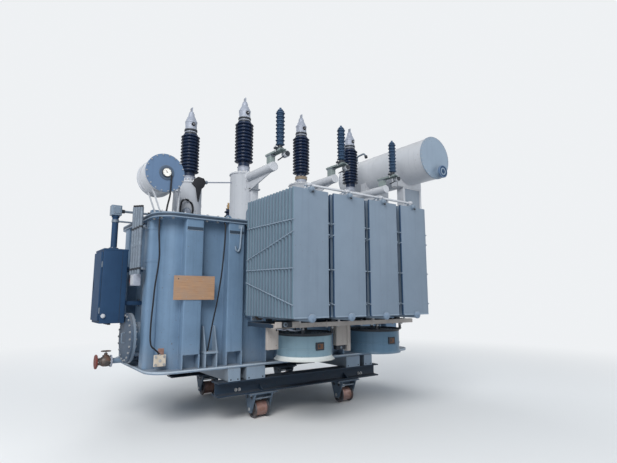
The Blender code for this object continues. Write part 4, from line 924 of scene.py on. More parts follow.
def add_side_rib(piece, x, side):
    """A folded stiffener on a long wall, on two foot plates, with its weld runs."""
    wall, face = side * (HALF_WIDTH - 0.03), side * RIB_FACE
    low, high = x - RIB_HALF, x + RIB_HALF
    piece.add(folded_box((low, high), (wall, face), (RIB_FOOT_TOP, RIB_TOP), "Z", 0.016), TANK_PAINT)
    for plate in ((low, low + 0.02), (high - 0.02, high)):
        piece.add(block(plate, (wall, face), (WALL_FOOT, RIB_FOOT_TOP + 0.004)), TANK_PAINT)
    # A dark plate in the notch below the rim is painted shade, and the pale rod along its lower lip is a
    # painted highlight.
    slot = (face - side * 0.004, face + side * 0.0006)
    piece.add(block((low + 0.012, high - 0.012), slot, (2.672, 2.722), 0.0005), SEAM_SHADE_PAINT)
    start, end = (low + 0.016, slot[1], 2.672), (high - 0.016, slot[1], 2.672)
    piece.add(rod(start, end, 0.004, 8), PALE_BLUE_PAINT_AND_HIGHLIGHT)
    for edge in (low, high):
        start, end = (edge, side * HALF_WIDTH, BASE_TOP + 0.001), (edge, side * HALF_WIDTH, RIM_BOTTOM)
        piece.add(rod(start, end, 0.006, 6), TANK_PAINT)


def add_jacking_bracket(piece, x, side):
    """A lifting shelf with a pair of tapered gussets."""
    wall = side * (HALF_WIDTH - 0.02)
    edge, toe = side * (HALF_WIDTH + 0.155), side * (HALF_WIDTH + 0.05)
    shelf = (wall, side * (HALF_WIDTH + 0.16))
    piece.add(block(about(x, 0.105), shelf, (0.955, 0.985), 0.004), PALE_BLUE_PAINT_AND_HIGHLIGHT)
    outline = [(wall, WALL_FOOT), (edge, WALL_FOOT), (edge, 0.985), (toe, 1.33), (wall, 1.33)]
    for low in (x - 0.095, x + 0.075):
        piece.add(prism(outline, "X", low, low + 0.02, 0.002), PALE_BLUE_PAINT_AND_HIGHLIGHT)


def add_radiator_stub(piece, x, side):
    """A short pipe with a square bolted flange for one radiator."""
    z, flange = RADIATOR_BOTTOM, (side * 1.1597, side * 1.1797)
    piece.add(rod((x, side * 0.86, z), (x, side * 1.165, z), HEADER_RADIUS, 24), TANK_PAINT)
    piece.add(block(about(x, FLANGE_HALF), flange, about(z, FLANGE_HALF), 0.004), TANK_PAINT)
    weld = turned([(0.0, 0), (0.062, 0), (0.05, 0.012), (0.0, 0.012)], 24)
    piece.add(placed(weld, (x, side * HALF_WIDTH, z), "X", -side * math.pi / 2), TANK_PAINT)
    for across, up in corners(FLANGE_BOLTS, FLANGE_BOLTS):
        piece.bolt((x + across, flange[0], z + up), (0, -side, 0), 0.024)


def add_end_duct(piece):
    """The tall round-cornered duct on the end wall, with its cap and two bands."""
    low_x, high_x = -2.48, -2.3
    piece.add(folded_box((low_x, high_x), (-0.68, -0.42), (WALL_FOOT, 2.735), "Z", 0.055, 6), TANK_PAINT)
    piece.add(folded_box((low_x + 0.012, high_x), (-0.668, -0.432), (2.73, RIB_TOP), "Z", 0.05, 6),
              TANK_PAINT)
    for low, high in ((2.69, 2.712), (2.225, 2.262)):
        piece.add(folded_box((low_x - 0.006, high_x), (-0.686, -0.414), (low, high), "Z", 0.058, 6),
                  TANK_PAINT)


def make_tank():
    """The tank's walls with their ribs, brackets, stubs, duct, rim, earth plate and hook."""
    piece = Piece("tank_with_ribs")
    wall = rounded_rectangle(HALF_LENGTH, HALF_WIDTH, 0.2)
    piece.add(prism(wall, "Z", WALL_FOOT, RIB_TOP), TANK_PAINT)
    rim = rounded_rectangle(RIM_HALF_LENGTH, RIM_HALF_WIDTH, RIM_CORNER)
    piece.add(prism(rim, "Z", RIM_BOTTOM, RIM_TOP, 0.003), TANK_PAINT)
    # The pale band low on the rim's edge is a painted highlight, and the dark band above it is painted shade
    # at the joint.
    piece.add(edge_band(RIM_BOTTOM + 0.003, RIM_BOTTOM + 0.014), PALE_BLUE_PAINT_AND_HIGHLIGHT)
    piece.add(edge_band(RIM_BOTTOM + 0.016, RIM_TOP - 0.001), SEAM_SHADE_PAINT)
    for side in (-1, 1):
        for x in RIB_PLACES:
            add_side_rib(piece, x, side)
        for x in JACK_PLACES:
            add_jacking_bracket(piece, x, side)
        for x in RADIATOR_PLACES:
            add_radiator_stub(piece, -side * x, side)
    add_end_duct(piece)
    for side, y in ((-1, END_RIB_Y[1]), (1, END_RIB_Y[0]), (1, END_RIB_Y[1])):
        rib = (side * (HALF_LENGTH - 0.03), side * (HALF_LENGTH + 0.15))
        piece.add(folded_box(rib, about(y, RIB_HALF), (WALL_FOOT, RIB_TOP), "Z", 0.016), TANK_PAINT)
    for place in RIM_BOLTS:
        near_rib = abs(place.y) > 0.9 and min(abs(place.x - x) for x in RIB_PLACES) < 0.155
        near_end_rib = abs(place.x) > 2.4 and min(abs(place.y - y) for y in END_RIB_Y) < 0.155
        if not (near_rib or near_end_rib):
            piece.bolt((place.x, place.y, RIM_BOTTOM), DOWN, 0.032)
    add_earth_terminal(piece)
    add_lifting_hook(piece)
    piece.done("tank_paint", "tank_shell")


def add_earth_terminal(piece):
    """The four-bolt earth plate on its stem, with a rusty tab above it."""
    piece.add(block((-2.42, -2.26), (-0.95, -0.934), (0.83, 0.98), 0.004), CREAM_PAINT)
    piece.add(block((-2.372, -2.276), (-0.942, -0.78), (0.846, 0.964), 0.004), CREAM_PAINT)
    for x in (-2.395, -2.285):
        for z in (0.855, 0.955):
            piece.bolt((x, -0.95, z), (0, -1, 0), 0.024)
    piece.add(rod((-2.34, -0.949, 0.905), (-2.34, -0.957, 0.905), 0.02, 20, 0.002), BOLT_STEEL)
    piece.add(block((-2.365, -2.285), (-0.928, -0.92), (0.96, 1.062), 0.002), TREAD_STEEL)
    piece.add(rod((-2.345, -0.9415, 0.99), (-2.345, -0.9415, 0.972), 0.0125, 12), BOLT_STEEL)
    piece.add(rod((-1.7, -1.005, 0.995), (-1.7, -1.005, 0.983), 0.0125, 12), BOLT_STEEL)


def add_lifting_hook(piece):
    """A pale bent bar on the second rib, open upwards like a hook."""
    run = [(-1.235, -1.02, 2.795), (-1.235, -1.048, 2.77), (-1.255, -1.05, 2.46), (-1.285, -1.05, 2.405),
           (-1.322, -1.05, 2.43), (-1.33, -1.05, 2.49)]
    piece.add(pipe(rounded_bend(run, 0.018, 4), 0.013), PALE_BLUE_PAINT_AND_HIGHLIGHT)
    piece.add(block((-1.275, -1.195), (-1.036, -1.026), (2.755, 2.815), 0.002), PALE_BLUE_PAINT_AND_HIGHLIGHT)


def make_base():
    """The bottom plate on its four cross skids."""
    piece = Piece("base_plate_with_skids")
    outline = rounded_rectangle(RIM_HALF_LENGTH, RIM_HALF_WIDTH, RIM_CORNER)
    piece.add(prism(outline, "Z", BASE_BOTTOM, BASE_TOP, 0.004), TANK_PAINT)
    # A pale band along the top edge of the base plate as a painted highlight.
    piece.add(edge_band(BASE_TOP - 0.022, BASE_TOP - 0.004), EDGE_HIGHLIGHT_PAINT)
    for low, high in SKID_SPANS:
        levels = (BEAM_TOP + CONTACT_GAP, BASE_BOTTOM + 0.002)
        piece.add(block((low + 0.004, high - 0.004), (-1.06, 1.06), levels), RADIATOR_PAINT)
        for side in (-1, 1):
            plate = (side * 1.058, side * 1.0695)
            piece.add(block((low, high), plate, (BEAM_TOP + CONTACT_GAP, BASE_BOTTOM - 0.006)), PALE_BLUE_PAINT_AND_HIGHLIGHT)
            for x in (low + 0.04, high - 0.04):
                piece.add(rod((x, side * 1.069, 0.575), (x, side * 1.0697, 0.575), 0.012, 16), DARK_PAINT_AND_SHADE)
    piece.done("tank_paint", "tank_base_plate")


def make_cover():
    """The bolted lid with its hand-hole plates, lifting eyes, square post and relief valve."""
    piece = Piece("bolted_cover")
    outline = rounded_rectangle(RIM_HALF_LENGTH, RIM_HALF_WIDTH, RIM_CORNER)
    piece.add(prism(outline, "Z", RIM_TOP + CONTACT_GAP, COVER_TOP, 0.003), TANK_PAINT)
    # The dark band low on the cover's edge is painted shade at the joint, and the pale band along its top is
    # a painted highlight.
    piece.add(edge_band(RIM_TOP + 0.001, COVER_TOP - 0.018), SEAM_SHADE_PAINT)
    piece.add(edge_band(COVER_TOP - 0.016, COVER_TOP - 0.003), PALE_BLUE_PAINT_AND_HIGHLIGHT)
    for place in RIM_BOLTS:
        piece.bolt((place.x, place.y, COVER_TOP), UP, 0.032)
    for x, y in ((-0.14, -0.3), (1.12, -0.3), (1.12, 0.6)):
        lid = [(0, 0), (0.15, 0), (0.15, 0.016), (0.13, 0.02), (0.04, 0.02), (0.036, 0.032), (0, 0.032)]
        piece.turn(lid, 40, (x, y, COVER_TOP), TANK_PAINT)
        piece.bolt_ring((x, y, COVER_TOP + 0.016), UP, 0.135, 10, 0.02)
    for x in (-1.25, 2.12):
        for y in (-0.62, 0.62):
            eye = [(x - 0.07, COVER_TOP), (x + 0.07, COVER_TOP), (x + 0.05, COVER_TOP + 0.09),
                   (x + 0.02, COVER_TOP + 0.12), (x - 0.02, COVER_TOP + 0.12), (x - 0.05, COVER_TOP + 0.09)]
            piece.add(prism(eye, "Y", *about(y, 0.012), 0.003), TANK_PAINT)
            ends = [(x, across, COVER_TOP + 0.07) for across in about(y, 0.014)]
            piece.add(rod(*ends, 0.022, 16), DARK_PAINT_AND_SHADE)
    piece.add(folded_box((-2.052, -1.972), (-0.4, -0.32), (COVER_TOP - 0.001, 3.35), "Z", 0.01), WHITE_PAINT)
    piece.add(block((-2.072, -1.966), (-0.415, -0.305), (3.345, 3.357), 0.003), WHITE_PAINT)
    valve = [(0, 0), (0.1, 0), (0.1, 0.02), (0.07, 0.02), (0.07, 0.05), (0.115, 0.05), (0.115, 0.075),
             (0.1, 0.09), (0.05, 0.115), (0.016, 0.12), (0.016, 0.15), (0, 0.15)]
    piece.turn(valve, 32, (1.45, 0.05, COVER_TOP), GALVANISED)
    piece.done("tank_paint", "tank_cover")


def make_beam(side, where):
    """A rolled joist with small gussets over its bogies and bolts through its web."""
    piece = Piece(f"rolled_joist_{where}")
    y, half, web = side * TRACK_Y, 0.12, 0.008
    low_half = [(half, 0), (half, 0.02), (web + 0.012, 0.024), (web, 0.036)]
    right = [(across, BEAM_BOTTOM + up) for across, up in low_half]
    right += [(across, BEAM_TOP - up) for across, up in reversed(low_half)]
    outline = [(y + across, z) for across, z in right] + [(y - across, z) for across, z in reversed(right)]
    piece.add(prism(outline, "X", -BEAM_HALF_LENGTH, BEAM_HALF_LENGTH, 0.002), BEAM_PAINT_AND_SHADE)
    for x in (-TRACK_X, TRACK_X):
        for hand in (-1, 1):
            reach, root = y + hand * 0.112, y + hand * 0.006
            foot = BEAM_BOTTOM + 0.018
            gusset = [(root, foot), (reach, foot), (reach, BEAM_BOTTOM + 0.04), (root, 0.455)]
            piece.add(prism(gusset, "X", *about(x, 0.008), 0.002), BEAM_PAINT_AND_SHADE)
    for hand in (-1, 1):
        for x in (-1.225, -1.168, 1.168, 1.225):
            piece.bolt((x, y + hand * 0.008, 0.408), (0, hand, 0), 0.036)
    piece.done("beam_paint", f"undercarriage_beam_{where}")


def make_bogie(end, side, name, node):
    """The fork of one wheel: top plate, two tapered side plates, spacer and axle pin."""
    piece = Piece(name)
    top = BEAM_BOTTOM - CONTACT_GAP
    # The fork wears the darkened bogie paint, which carries painted shadow from the tank above.
    piece.add(block((-0.23, 0.23), (-0.155, 0.155), (top - 0.022, top), 0.003), BOGIE_SHADOW_PAINT)
    outline = [(-0.155, top - 0.012), (-0.148, top - 0.045), (-0.054, 0.066), (-0.036, 0.05),
               (0.036, 0.05), (0.054, 0.066), (0.148, top - 0.045), (0.155, top - 0.012)]
    for hand in (-1, 1):
        piece.add(prism(outline, "X", *sorted((hand * 0.135, hand * 0.157)), 0.002), BOGIE_SHADOW_PAINT)
        for y in (-0.062, 0.062):
            ring = [(0.026, 0), (0.031, 0), (0.031, 0.0035), (0.026, 0.0035)]
            shape = placed(turned(ring, 24, True), (hand * 0.157, y, 0.275), "Y", hand * math.pi / 2)
            piece.add(shape, BOGIE_SHADOW_PAINT)
            piece.add(rod((hand * 0.1565, y, 0.275), (hand * 0.1585, y, 0.275), 0.0262, 24), DARK_PAINT_AND_SHADE)
        near, far = (hand * 0.157, 0, TREAD_RADIUS), (hand * 0.163, 0, TREAD_RADIUS)
        piece.add(rod(near, far, 0.04, 24, 0.002), BOGIE_SHADOW_PAINT)
        near, far = (hand * 0.155, 0, TREAD_RADIUS), (hand * 0.1675, 0, TREAD_RADIUS)
        piece.add(rod(near, far, 0.028, 6), BOLT_STEEL)
        for y in (0.11, -0.11):
            piece.bolt((hand * 0.195, y, top - 0.022), DOWN, 0.03)
    piece.add(rod((-0.16, 0, TREAD_RADIUS), (0.16, 0, TREAD_RADIUS), 0.0295, 24), BOLT_STEEL)
    piece.add(block((-0.136, 0.136), (-0.022, 0.022), (0.262, 0.302), 0.004), BOGIE_SHADOW_PAINT)
    for y in (-0.105, 0.105):
        piece.add(rod((-0.155, y, 0.265), (0.155, y, 0.265), 0.012, 12), GALVANISED)
    bmesh.ops.translate(piece.shape, vec=(end * TRACK_X, side * TRACK_Y, 0), verts=piece.shape.verts)
    piece.done("bogie_steel", node)


def make_wheel(end, side, name, node):
    """A wide cast wheel with a flange at each side and a bright rusty tread."""
    piece = Piece(name)
    disc = [(0.0312, 0.115), (0.05, 0.115), (0.054, 0.101), (0.088, 0.099), (0.096, 0.113), (0.122, 0.115),
            (0.128, 0.111), (0.13, 0.105), (0.128, 0.1), (0.106, 0.091), (0.1045, 0.085)]
    profile = disc + [(radius, -level) for radius, level in reversed(disc)]
    piece.add(placed(turned(profile, 48, True), axis="Y", angle=math.pi / 2), WHEEL_STEEL)
    tread = [(0.1035, -0.0905), (0.105, -0.0885), (0.105, 0.0885), (0.1035, 0.0905)]
    piece.add(placed(turned(tread, 48, True), axis="Y", angle=math.pi / 2), TREAD_STEEL)
    for hand in (-1, 1):
        for index in range(5):
            angle = math.tau * index / 5
            y, z = 0.071 * math.cos(angle), 0.071 * math.sin(angle)
            piece.add(rod((hand * 0.099, y, z), (hand * 0.101, y, z), 0.008, 12), DARK_PAINT_AND_SHADE)
    place = (end * TRACK_X, side * TRACK_Y, TREAD_RADIUS)
    bmesh.ops.translate(piece.shape, vec=place, verts=piece.shape.verts)
    piece.done("wheel_steel", node, body=node)


TIE_RUNS = (
    ((-1.375, 2.7), (-2.552, 2.685)), ((-1.375, 2.25), (-2.552, 2.535)),
    ((-1.375, 2.105), (-2.552, 2.085)), ((-1.375, 1.935), (-2.552, 1.64)),
)


def radiator_template():
    """One radiator at the middle of the front side, with its fins, headers, ties and tank pipes."""
    piece = Piece("radiator")
    pitch = (RADIATOR_BACK - RADIATOR_FACE - FIN_DEPTH) / (FIN_COUNT - 1)
    for index in range(FIN_COUNT):
        outer = RADIATOR_FACE + index * pitch
        fin = (outer, outer + FIN_DEPTH)
        levels = (RADIATOR_BOTTOM, RADIATOR_TOP)
        piece.add(folded_box((-FIN_HALF, FIN_HALF), fin, levels, "Z", 0.012, 3, 0.004), RADIATOR_PAINT)
    for z in (RADIATOR_BOTTOM, RADIATOR_TOP):
        piece.add(rod((0, -2.56, z), (0, RADIATOR_BACK + 0.004, z), HEADER_RADIUS, 24), RADIATOR_PAINT)
        size, finish = (0.053, CAP_PAINT) if z == RADIATOR_BOTTOM else (0.036, RADIATOR_PAINT)
        cap = [(0, 0), (size, 0), (size, 0.022), (size - 0.005, 0.03), (0.024, 0.04), (0.016, 0.043),
               (0.016, 0.05), (0, 0.05)]
        piece.add(placed(turned(cap, 32), (0, RADIATOR_FACE, z), "X", math.pi / 2), finish)
    piece.add(block((-FIN_HALF + 0.01, FIN_HALF - 0.01), (-2.556, -2.545), (1.4805, 1.497), 0.002), PALE_BLUE_PAINT_AND_HIGHLIGHT)
    vent = [(0, 3.13), (0.02, 3.13), (0.02, 3.152), (0.032, 3.16), (0.037, 3.184), (0.03, 3.192), (0, 3.192)]
    piece.turn(vent, 24, (0, -2.5, 0), WHITE_PAINT)
    piece.add(rod((0, -2.59, 3.055), (0, -2.56, 3.1), 0.013, 12, 0.002), DARK_PAINT_AND_SHADE)
    for side in (-1, 1):
        for (near, low), (far, high) in TIE_RUNS:
            x = side * (FIN_HALF + 0.004)
            piece.add(rod((x, near, low), (x, far, high), 0.007, 8), PALE_BLUE_PAINT_AND_HIGHLIGHT)
            clip = (side * 0.262, side * 0.29)
            piece.add(block(clip, (far - 0.003, far + 0.012), about(high, 0.009)), RADIATOR_PAINT)
    z = RADIATOR_BOTTOM
    piece.add(rod((0, RADIATOR_BACK, z), (0, VALVE_FACE - 0.004, z), HEADER_RADIUS, 24), RADIATOR_PAINT)
    piece.add(rod((0, -1.295, z), (0, -1.245, z), 0.075, 28, 0.006), VALVE_IRON)
    piece.add(rod((0, -1.27, 1.54), (0, -1.27, 1.6), 0.012, 10), BOLT_STEEL)
    piece.add(block((-0.06, 0.012), (-1.277, -1.263), (1.586, 1.598)), BOLT_STEEL)
    flange = (VALVE_FACE - 0.02, VALVE_FACE)
    piece.add(block(about(0, FLANGE_HALF), flange, about(z, FLANGE_HALF), 0.004), RADIATOR_PAINT)
    for across, up in corners(FLANGE_BOLTS, FLANGE_BOLTS):
        piece.bolt((across, flange[0], z + up), (0, -1, 0), 0.024)
    foot = [(0, RADIATOR_BACK, RADIATOR_TOP), (0, -HALF_WIDTH, RADIATOR_TOP),
            (0, -HALF_WIDTH, COVER_TOP + 0.001)]
    piece.add(pipe(rounded_bend(foot, 0.085, 8), HEADER_RADIUS, 5), RADIATOR_PAINT)
    ring = [(0, 0), (0.085, 0), (0.085, 0.018), (0.05, 0.02), (0, 0.02)]
    piece.turn(ring, 28, (0, -HALF_WIDTH, COVER_SEAT), RADIATOR_PAINT)
    piece.bolt_ring((0, -HALF_WIDTH, COVER_TOP + 0.018), UP, 0.068, 6, 0.018, 0.3)
    piece.add(rod((0, -1.2, RADIATOR_TOP), (0, -1.16, RADIATOR_TOP), 0.078, 28, 0.004), WHITE_PAINT)
    for y in (-2.42, -1.48):
        piece.add(rod((0, y, 3.14), (0, y, 3.165), 0.018, 6), WHITE_PAINT)
        piece.add(block((-0.006, 0.006), about(y, 0.03), (3.13, 3.185), 0.003), RADIATOR_PAINT)
    piece.add(rod((0, -2.3, 3.14), (0, -2.3, 3.17), 0.016, 6), BOLT_STEEL)
    piece.add(rod((0, -2.3, 1.44), (0, -2.3, 1.41), 0.016, 6), BOLT_STEEL)
    return piece


def paint_fin_sides(piece, middle, way, finish):
    """Gives the fins' upright sides that face one way along X a darker finish as painted shade."""
    piece.finishes.append(finish)
    edge = FIN_HALF - 0.015
    for face in piece.shape.faces:
        centre = face.calc_center_median()
        within = RADIATOR_BOTTOM < centre.z < RADIATOR_TOP and abs(centre.x - middle) < FIN_HALF + 0.001
        if within and (centre.x - middle) * way > edge and face.normal.x * way > 0.3:
            face.material_index = len(piece.finishes) - 1


def make_radiators():
    """The radiators of both sides, with a white pipe from each one to the next."""
    template = radiator_template()
    last = len(RADIATOR_PLACES) - 1
    for side, where in ((1, "front"), (-1, "back")):
        turn = 0.0 if side > 0 else math.pi
        for index, x in enumerate(RADIATOR_PLACES):
            made = template.moved_copy(f"finned_radiator_{where}_{index + 1}", (side * x, 0, 0), turn)
            # Fin sides that face a neighbour get the deep painted gap shade, and outer fin sides the lighter
            # painted side shade.
            for hand, neighbour in ((-1, index > 0), (1, index < last)):
                paint_fin_sides(made, side * x, side * hand, GAP_SHADE_PAINT if neighbour else FIN_SIDE_SHADE_PAINT)
            if index < last:
                ends = [(side * (x + along), side * -2.5, 3.166) for along in (0.03, 0.59)]
                made.add(rod(*ends, 0.017, 16, 0.003), WHITE_PAINT)
            made.done("radiator_paint", f"radiator_{where}_{index + 1}")
    template.shape.free()


def fan_blade(angle):
    """One twisted blade from the hub out to just inside the ring."""
    shape = bmesh.new()
    bmesh.ops.create_cube(shape, size=1.0)
    bmesh.ops.scale(shape, vec=(0.25, 0.15, 0.006), verts=shape.verts)
    bmesh.ops.translate(shape, vec=(0.225, 0, 0), verts=shape.verts)
    bmesh.ops.subdivide_edges(shape, edges=shape.edges[:], cuts=3, use_grid_fill=True)
    for vert in shape.verts:
        share = (vert.co.x - 0.1) / 0.25
        pitch = math.radians(42 - 22 * share)
        vert.co.y, vert.co.z = (
            vert.co.y * math.cos(pitch) - vert.co.z * math.sin(pitch),
            vert.co.y * math.sin(pitch) + vert.co.z * math.cos(pitch),
        )
    return placed(shape, axis="Z", angle=angle)


def fan_template(casing, lip, flare_width):
    """An upright fan: casing ring, flared inlet, blades, motor on its cross arms and guard."""
    piece = Piece("fan")
    inner, outer, knee = FAN_RADIUS - 0.012, FAN_RADIUS, FAN_BOTTOM + 0.055
    shell = [(inner, FAN_TOP - 0.02), (outer, FAN_TOP - 0.02), (outer, knee), (inner, knee)]
    piece.add(turned(shell, 64, True), casing)
    # The dark rim at the fan's top is painted shade of the dark inside seen between the frame and the casing.
    rim = [(inner, FAN_TOP), (0.41, FAN_TOP), (0.41, FAN_TOP - 0.012), (outer + 0.004, FAN_TOP - 0.014),
           (outer + 0.004, FAN_TOP - 0.035), (inner, FAN_TOP - 0.035)]
    piece.add(turned(rim, 64, True), DARK_PAINT_AND_SHADE)
    flare = []
    for step in range(9):
        share = step / 8
        flare.append((outer + 0.002 + flare_width * share ** 2.2, knee - 0.055 * share))
    flare += [(radius - 0.01, height + 0.001) for radius, height in reversed(flare)]
    piece.add(turned(flare, 64, True), lip)
    low = FAN_BOTTOM + 0.135
    band = [(outer - 0.002, low), (outer + 0.005, low + 0.002), (outer + 0.005, low + 0.022),
            (outer - 0.002, low + 0.024)]
    piece.add(turned(band, 64, True), casing)
    arms = (FAN_TOP - 0.04, FAN_TOP - 0.012)
    piece.add(block((-0.374, 0.374), (-0.014, 0.014), arms, 0.003), DARK_PAINT_AND_SHADE)
    piece.add(block((-0.014, 0.014), (-0.374, 0.374), arms, 0.003), DARK_PAINT_AND_SHADE)
    motor = [(0, 1.055), (0.07, 1.055), (0.09, 1.065), (0.1, 1.08), (0.1, 1.21), (0.094, 1.225),
             (0.05, 1.241), (0, 1.241)]
    piece.add(turned(motor, 32), DARK_PAINT_AND_SHADE)
    for index in range(12):
        fin = block((0.095, 0.108), (-0.003, 0.003), (1.09, 1.205), 0.001)
        piece.add(placed(fin, axis="Z", angle=math.tau * index / 12), DARK_PAINT_AND_SHADE)
    hub = [(0, 0.975), (0.05, 0.975), (0.095, 0.995), (0.105, 1.02), (0.105, 1.056), (0, 1.056)]
    piece.add(turned(hub, 32), casing)
    for index in range(6):
        piece.add(placed(fan_blade(math.tau * index / 6), (0, 0, 1.022)), DARK_PAINT_AND_SHADE)
    level = FAN_TOP - 0.012
    for radius in (0.13, 0.175, 0.22, 0.265, 0.31, 0.345):
        ring = [(radius - 0.003, level), (radius, level + 0.003), (radius + 0.003, level),
                (radius, level - 0.003)]
        piece.add(turned(ring, 48, True), GALVANISED)
    for index in range(8):
        angle = math.tau * (index + 0.5) / 8
        ends = [(reach * math.cos(angle), reach * math.sin(angle), level - 0.002) for reach in (0.1, 0.372)]
        piece.add(rod(*ends, 0.004, 6), GALVANISED)
    piece.add(block((-0.083, 0.05), (-0.39, -0.365), (1.044, 1.146), 0.004), DARK_PAINT_AND_SHADE)
    piece.add(block((-0.06, 0.028), (-0.394, -0.385), (1.062, 1.128), 0.003), RUST_BROWN)
    piece.add(block((-0.05, -0.02), (-0.397, -0.39), (1.08, 1.116), 0.002), DARK_PAINT_AND_SHADE)
    return piece


def make_fans():
    """The fans under both rows of radiators: teal with a wide pale lip on the left, blue on the right."""
    for side, where in ((1, "front"), (-1, "back")):
        turn = 0.0 if side > 0 else math.pi
        finishes = ((FAN_TEAL, FAN_WHITE, 0.04), (FAN_BLUE, FAN_BLUE, 0.018))
        for x, hand, finish in zip(FAN_PLACES, ("left", "right"), finishes):
            template = fan_template(*finish)
            made = template.moved_copy(f"cooling_fan_{where}_{hand}", (side * x, side * FAN_Y, 0), turn)
            template.shape.free()
            made.done("fan_paint", f"fan_{where}_{hand}")


def frame_template():
    """The channels under the radiators with packers, cross bars and the straps that carry the fans."""
    piece = Piece("fan frame")
    low_x, high_x = -1.3495, 1.2195
    rail_top = CHANNEL_TOP - 0.03
    for offset in CHANNEL_OFFSETS:
        y, open_way = FAN_Y + offset, -1 if offset > 0 else 1
        back, front = y - open_way * 0.03, y + open_way * 0.03
        inside = back + open_way * 0.007
        channel = [(back, CHANNEL_BOTTOM), (front, CHANNEL_BOTTOM), (front, CHANNEL_BOTTOM + 0.009),
                   (inside, CHANNEL_BOTTOM + 0.012), (inside, rail_top - 0.012), (front, rail_top - 0.009),
                   (front, rail_top), (back, rail_top)]
        # The rear channel wears the dark beam paint as painted shade.
        piece.add(prism(channel, "X", low_x, high_x, 0.0015), FRAME_PAINT if offset < 0 else BEAM_PAINT_AND_SHADE)
        for x in RADIATOR_PLACES:
            packer = block(about(x, 0.04), about(y, 0.026), (rail_top - 0.002, CHANNEL_TOP), 0.003)
            piece.add(packer, DARK_PAINT_AND_SHADE)
            for across in (-0.1, 0.1):
                piece.bolt((x + across, y, CHANNEL_BOTTOM), DOWN, 0.026)
                piece.bolt((x + across, y, rail_top), UP, 0.022)
    middle = sum(FAN_PLACES) / 2
    for x in (low_x + 0.03, middle, high_x - 0.03):
        cross = about(FAN_Y, 0.335)
        # The cross bars wear the dark beam paint as painted shade.
        piece.add(block(about(x, 0.03), cross, (CHANNEL_BOTTOM + 0.004, rail_top - 0.004), 0.004), BEAM_PAINT_AND_SHADE)
    reach = math.sqrt(0.395 ** 2 - CHANNEL_OFFSETS[1] ** 2)
    low = FAN_TOP + CONTACT_GAP
    for x in FAN_PLACES:
        for across, offset in corners(reach, CHANNEL_OFFSETS[1]):
            place, y = x + across, FAN_Y + offset
            width = about(place, 0.025)
            piece.add(block(width, about(y, 0.006), (low, CHANNEL_BOTTOM + 0.004), 0.002), DARK_PAINT_AND_SHADE)
            piece.add(block(width, about(y, 0.015), (low, FAN_TOP + 0.01), 0.002), DARK_PAINT_AND_SHADE)
            piece.bolt((place, y - 0.006, CHANNEL_BOTTOM - 0.02), (0, -1, 0), 0.022)
    add_frame_boxes(piece)
    return piece


def add_frame_boxes(piece):
    """Terminal boxes on the front channel's end, the crumpled tray under them and the hanging posts."""
    for low, high in ((-1.335, -1.245), (-1.085, -0.965)):
        piece.add(folded_box((low, high), (-2.214, -2.1895), (1.353, 1.428), "Y", 0.008), FRAME_PAINT)
        piece.add(block((low + 0.008, high - 0.008), (-2.218, -2.212), (1.361, 1.42), 0.002), FRAME_PAINT)
    piece.add(block((-1.246, -1.084), (-2.206, -2.1895), (1.356, 1.424), 0.004), DARK_PAINT_AND_SHADE)
    piece.add(rod((-1.19, -2.2, 1.392), (-1.19, -2.216, 1.392), 0.03, 20, 0.003), GALVANISED)
    piece.add(rod((-1.19, -2.214, 1.392), (-1.19, -2.218, 1.392), 0.016, 16), DARK_PAINT_AND_SHADE)
    tray = [(-1.29, 1.345), (-1.2, 1.328), (-1.12, 1.338), (-1.04, 1.31), (-0.95, 1.322), (-0.95, 1.316),
            (-1.04, 1.304), (-1.12, 1.332), (-1.2, 1.322), (-1.29, 1.339)]
    piece.add(prism(tray, "Y", -2.215, -2.08, 0.001), CAP_METAL)
    for x in (-1.27, -0.985):
        piece.add(rod((x, -2.13, 1.312), (x, -2.13, 1.35), 0.008, 8), DARK_PAINT_AND_SHADE)
    piece.add(folded_box((-1.286, -1.11), (-1.93, -1.88), (1.06, 1.352), "Z", 0.01), FRAME_PAINT)
    piece.add(folded_box((-0.15, 0.055), (-1.955, -1.87), (1.05, 1.352), "Z", 0.012), FRAME_PAINT)
    piece.add(folded_box((0.053, 0.12), (-1.962, -1.866), (0.965, 1.352), "Z", 0.012), FRAME_PAINT)
    piece.add(block((-0.145, 0.03), (-1.95, -1.88), (0.99, 1.052), 0.006), DARK_PAINT_AND_SHADE)
    piece.add(rod((-0.06, -1.95, 1.02), (-0.06, -1.958, 1.02), 0.018, 12), GALVANISED)


def make_fan_frames():
    """The front fan frame and the same frame turned round for the back."""
    template = frame_template()
    for where, turn in (("front", 0.0), ("back", math.pi)):
        template.moved_copy(f"fan_carrier_{where}", (0, 0, 0), turn).done("frame_paint", f"fan_frame_{where}")
    template.shape.free()


def add_turret_body(piece, x, radius, top):
    """A round turret with a bolted flange at its foot and a thin bolted plate under its bushing."""
    foot, ring, crown = COVER_SEAT, radius + 0.05, radius + 0.015
    profile = raised(foot, [(0, 0), (ring, 0), (ring, 0.027), (ring - 0.003, 0.03), (radius + 0.008, 0.03),
                            (radius, 0.042)])
    profile += raised(top, [(radius, -0.034), (radius + 0.004, -0.026), (crown - 0.003, -0.026),
                            (crown, -0.023), (crown, -0.003), (crown - 0.003, 0), (0, 0)])
    piece.turn(profile, 64, (x, PHASE_Y, 0), WHITE_PAINT)
    piece.bolt_ring((x, PHASE_Y, foot + 0.03), UP, radius + 0.03, 18, 0.024)
    piece.bolt_ring((x, PHASE_Y, top), UP, crown - 0.022, 16, 0.022)
    piece.add(rod((x + radius, PHASE_Y, foot + 0.03), (x + radius, PHASE_Y, top - 0.03), 0.005, 6),
              WHITE_PAINT)
    lid = [(0, 0), (0.055, 0), (0.055, 0.012), (0.02, 0.014), (0.02, 0.024), (0, 0.024)]
    piece.add(aimed(turned(lid, 24), (x + radius * 0.9, PHASE_Y - 0.02, foot + 0.3), (1, 0, 0)), WHITE_PAINT)


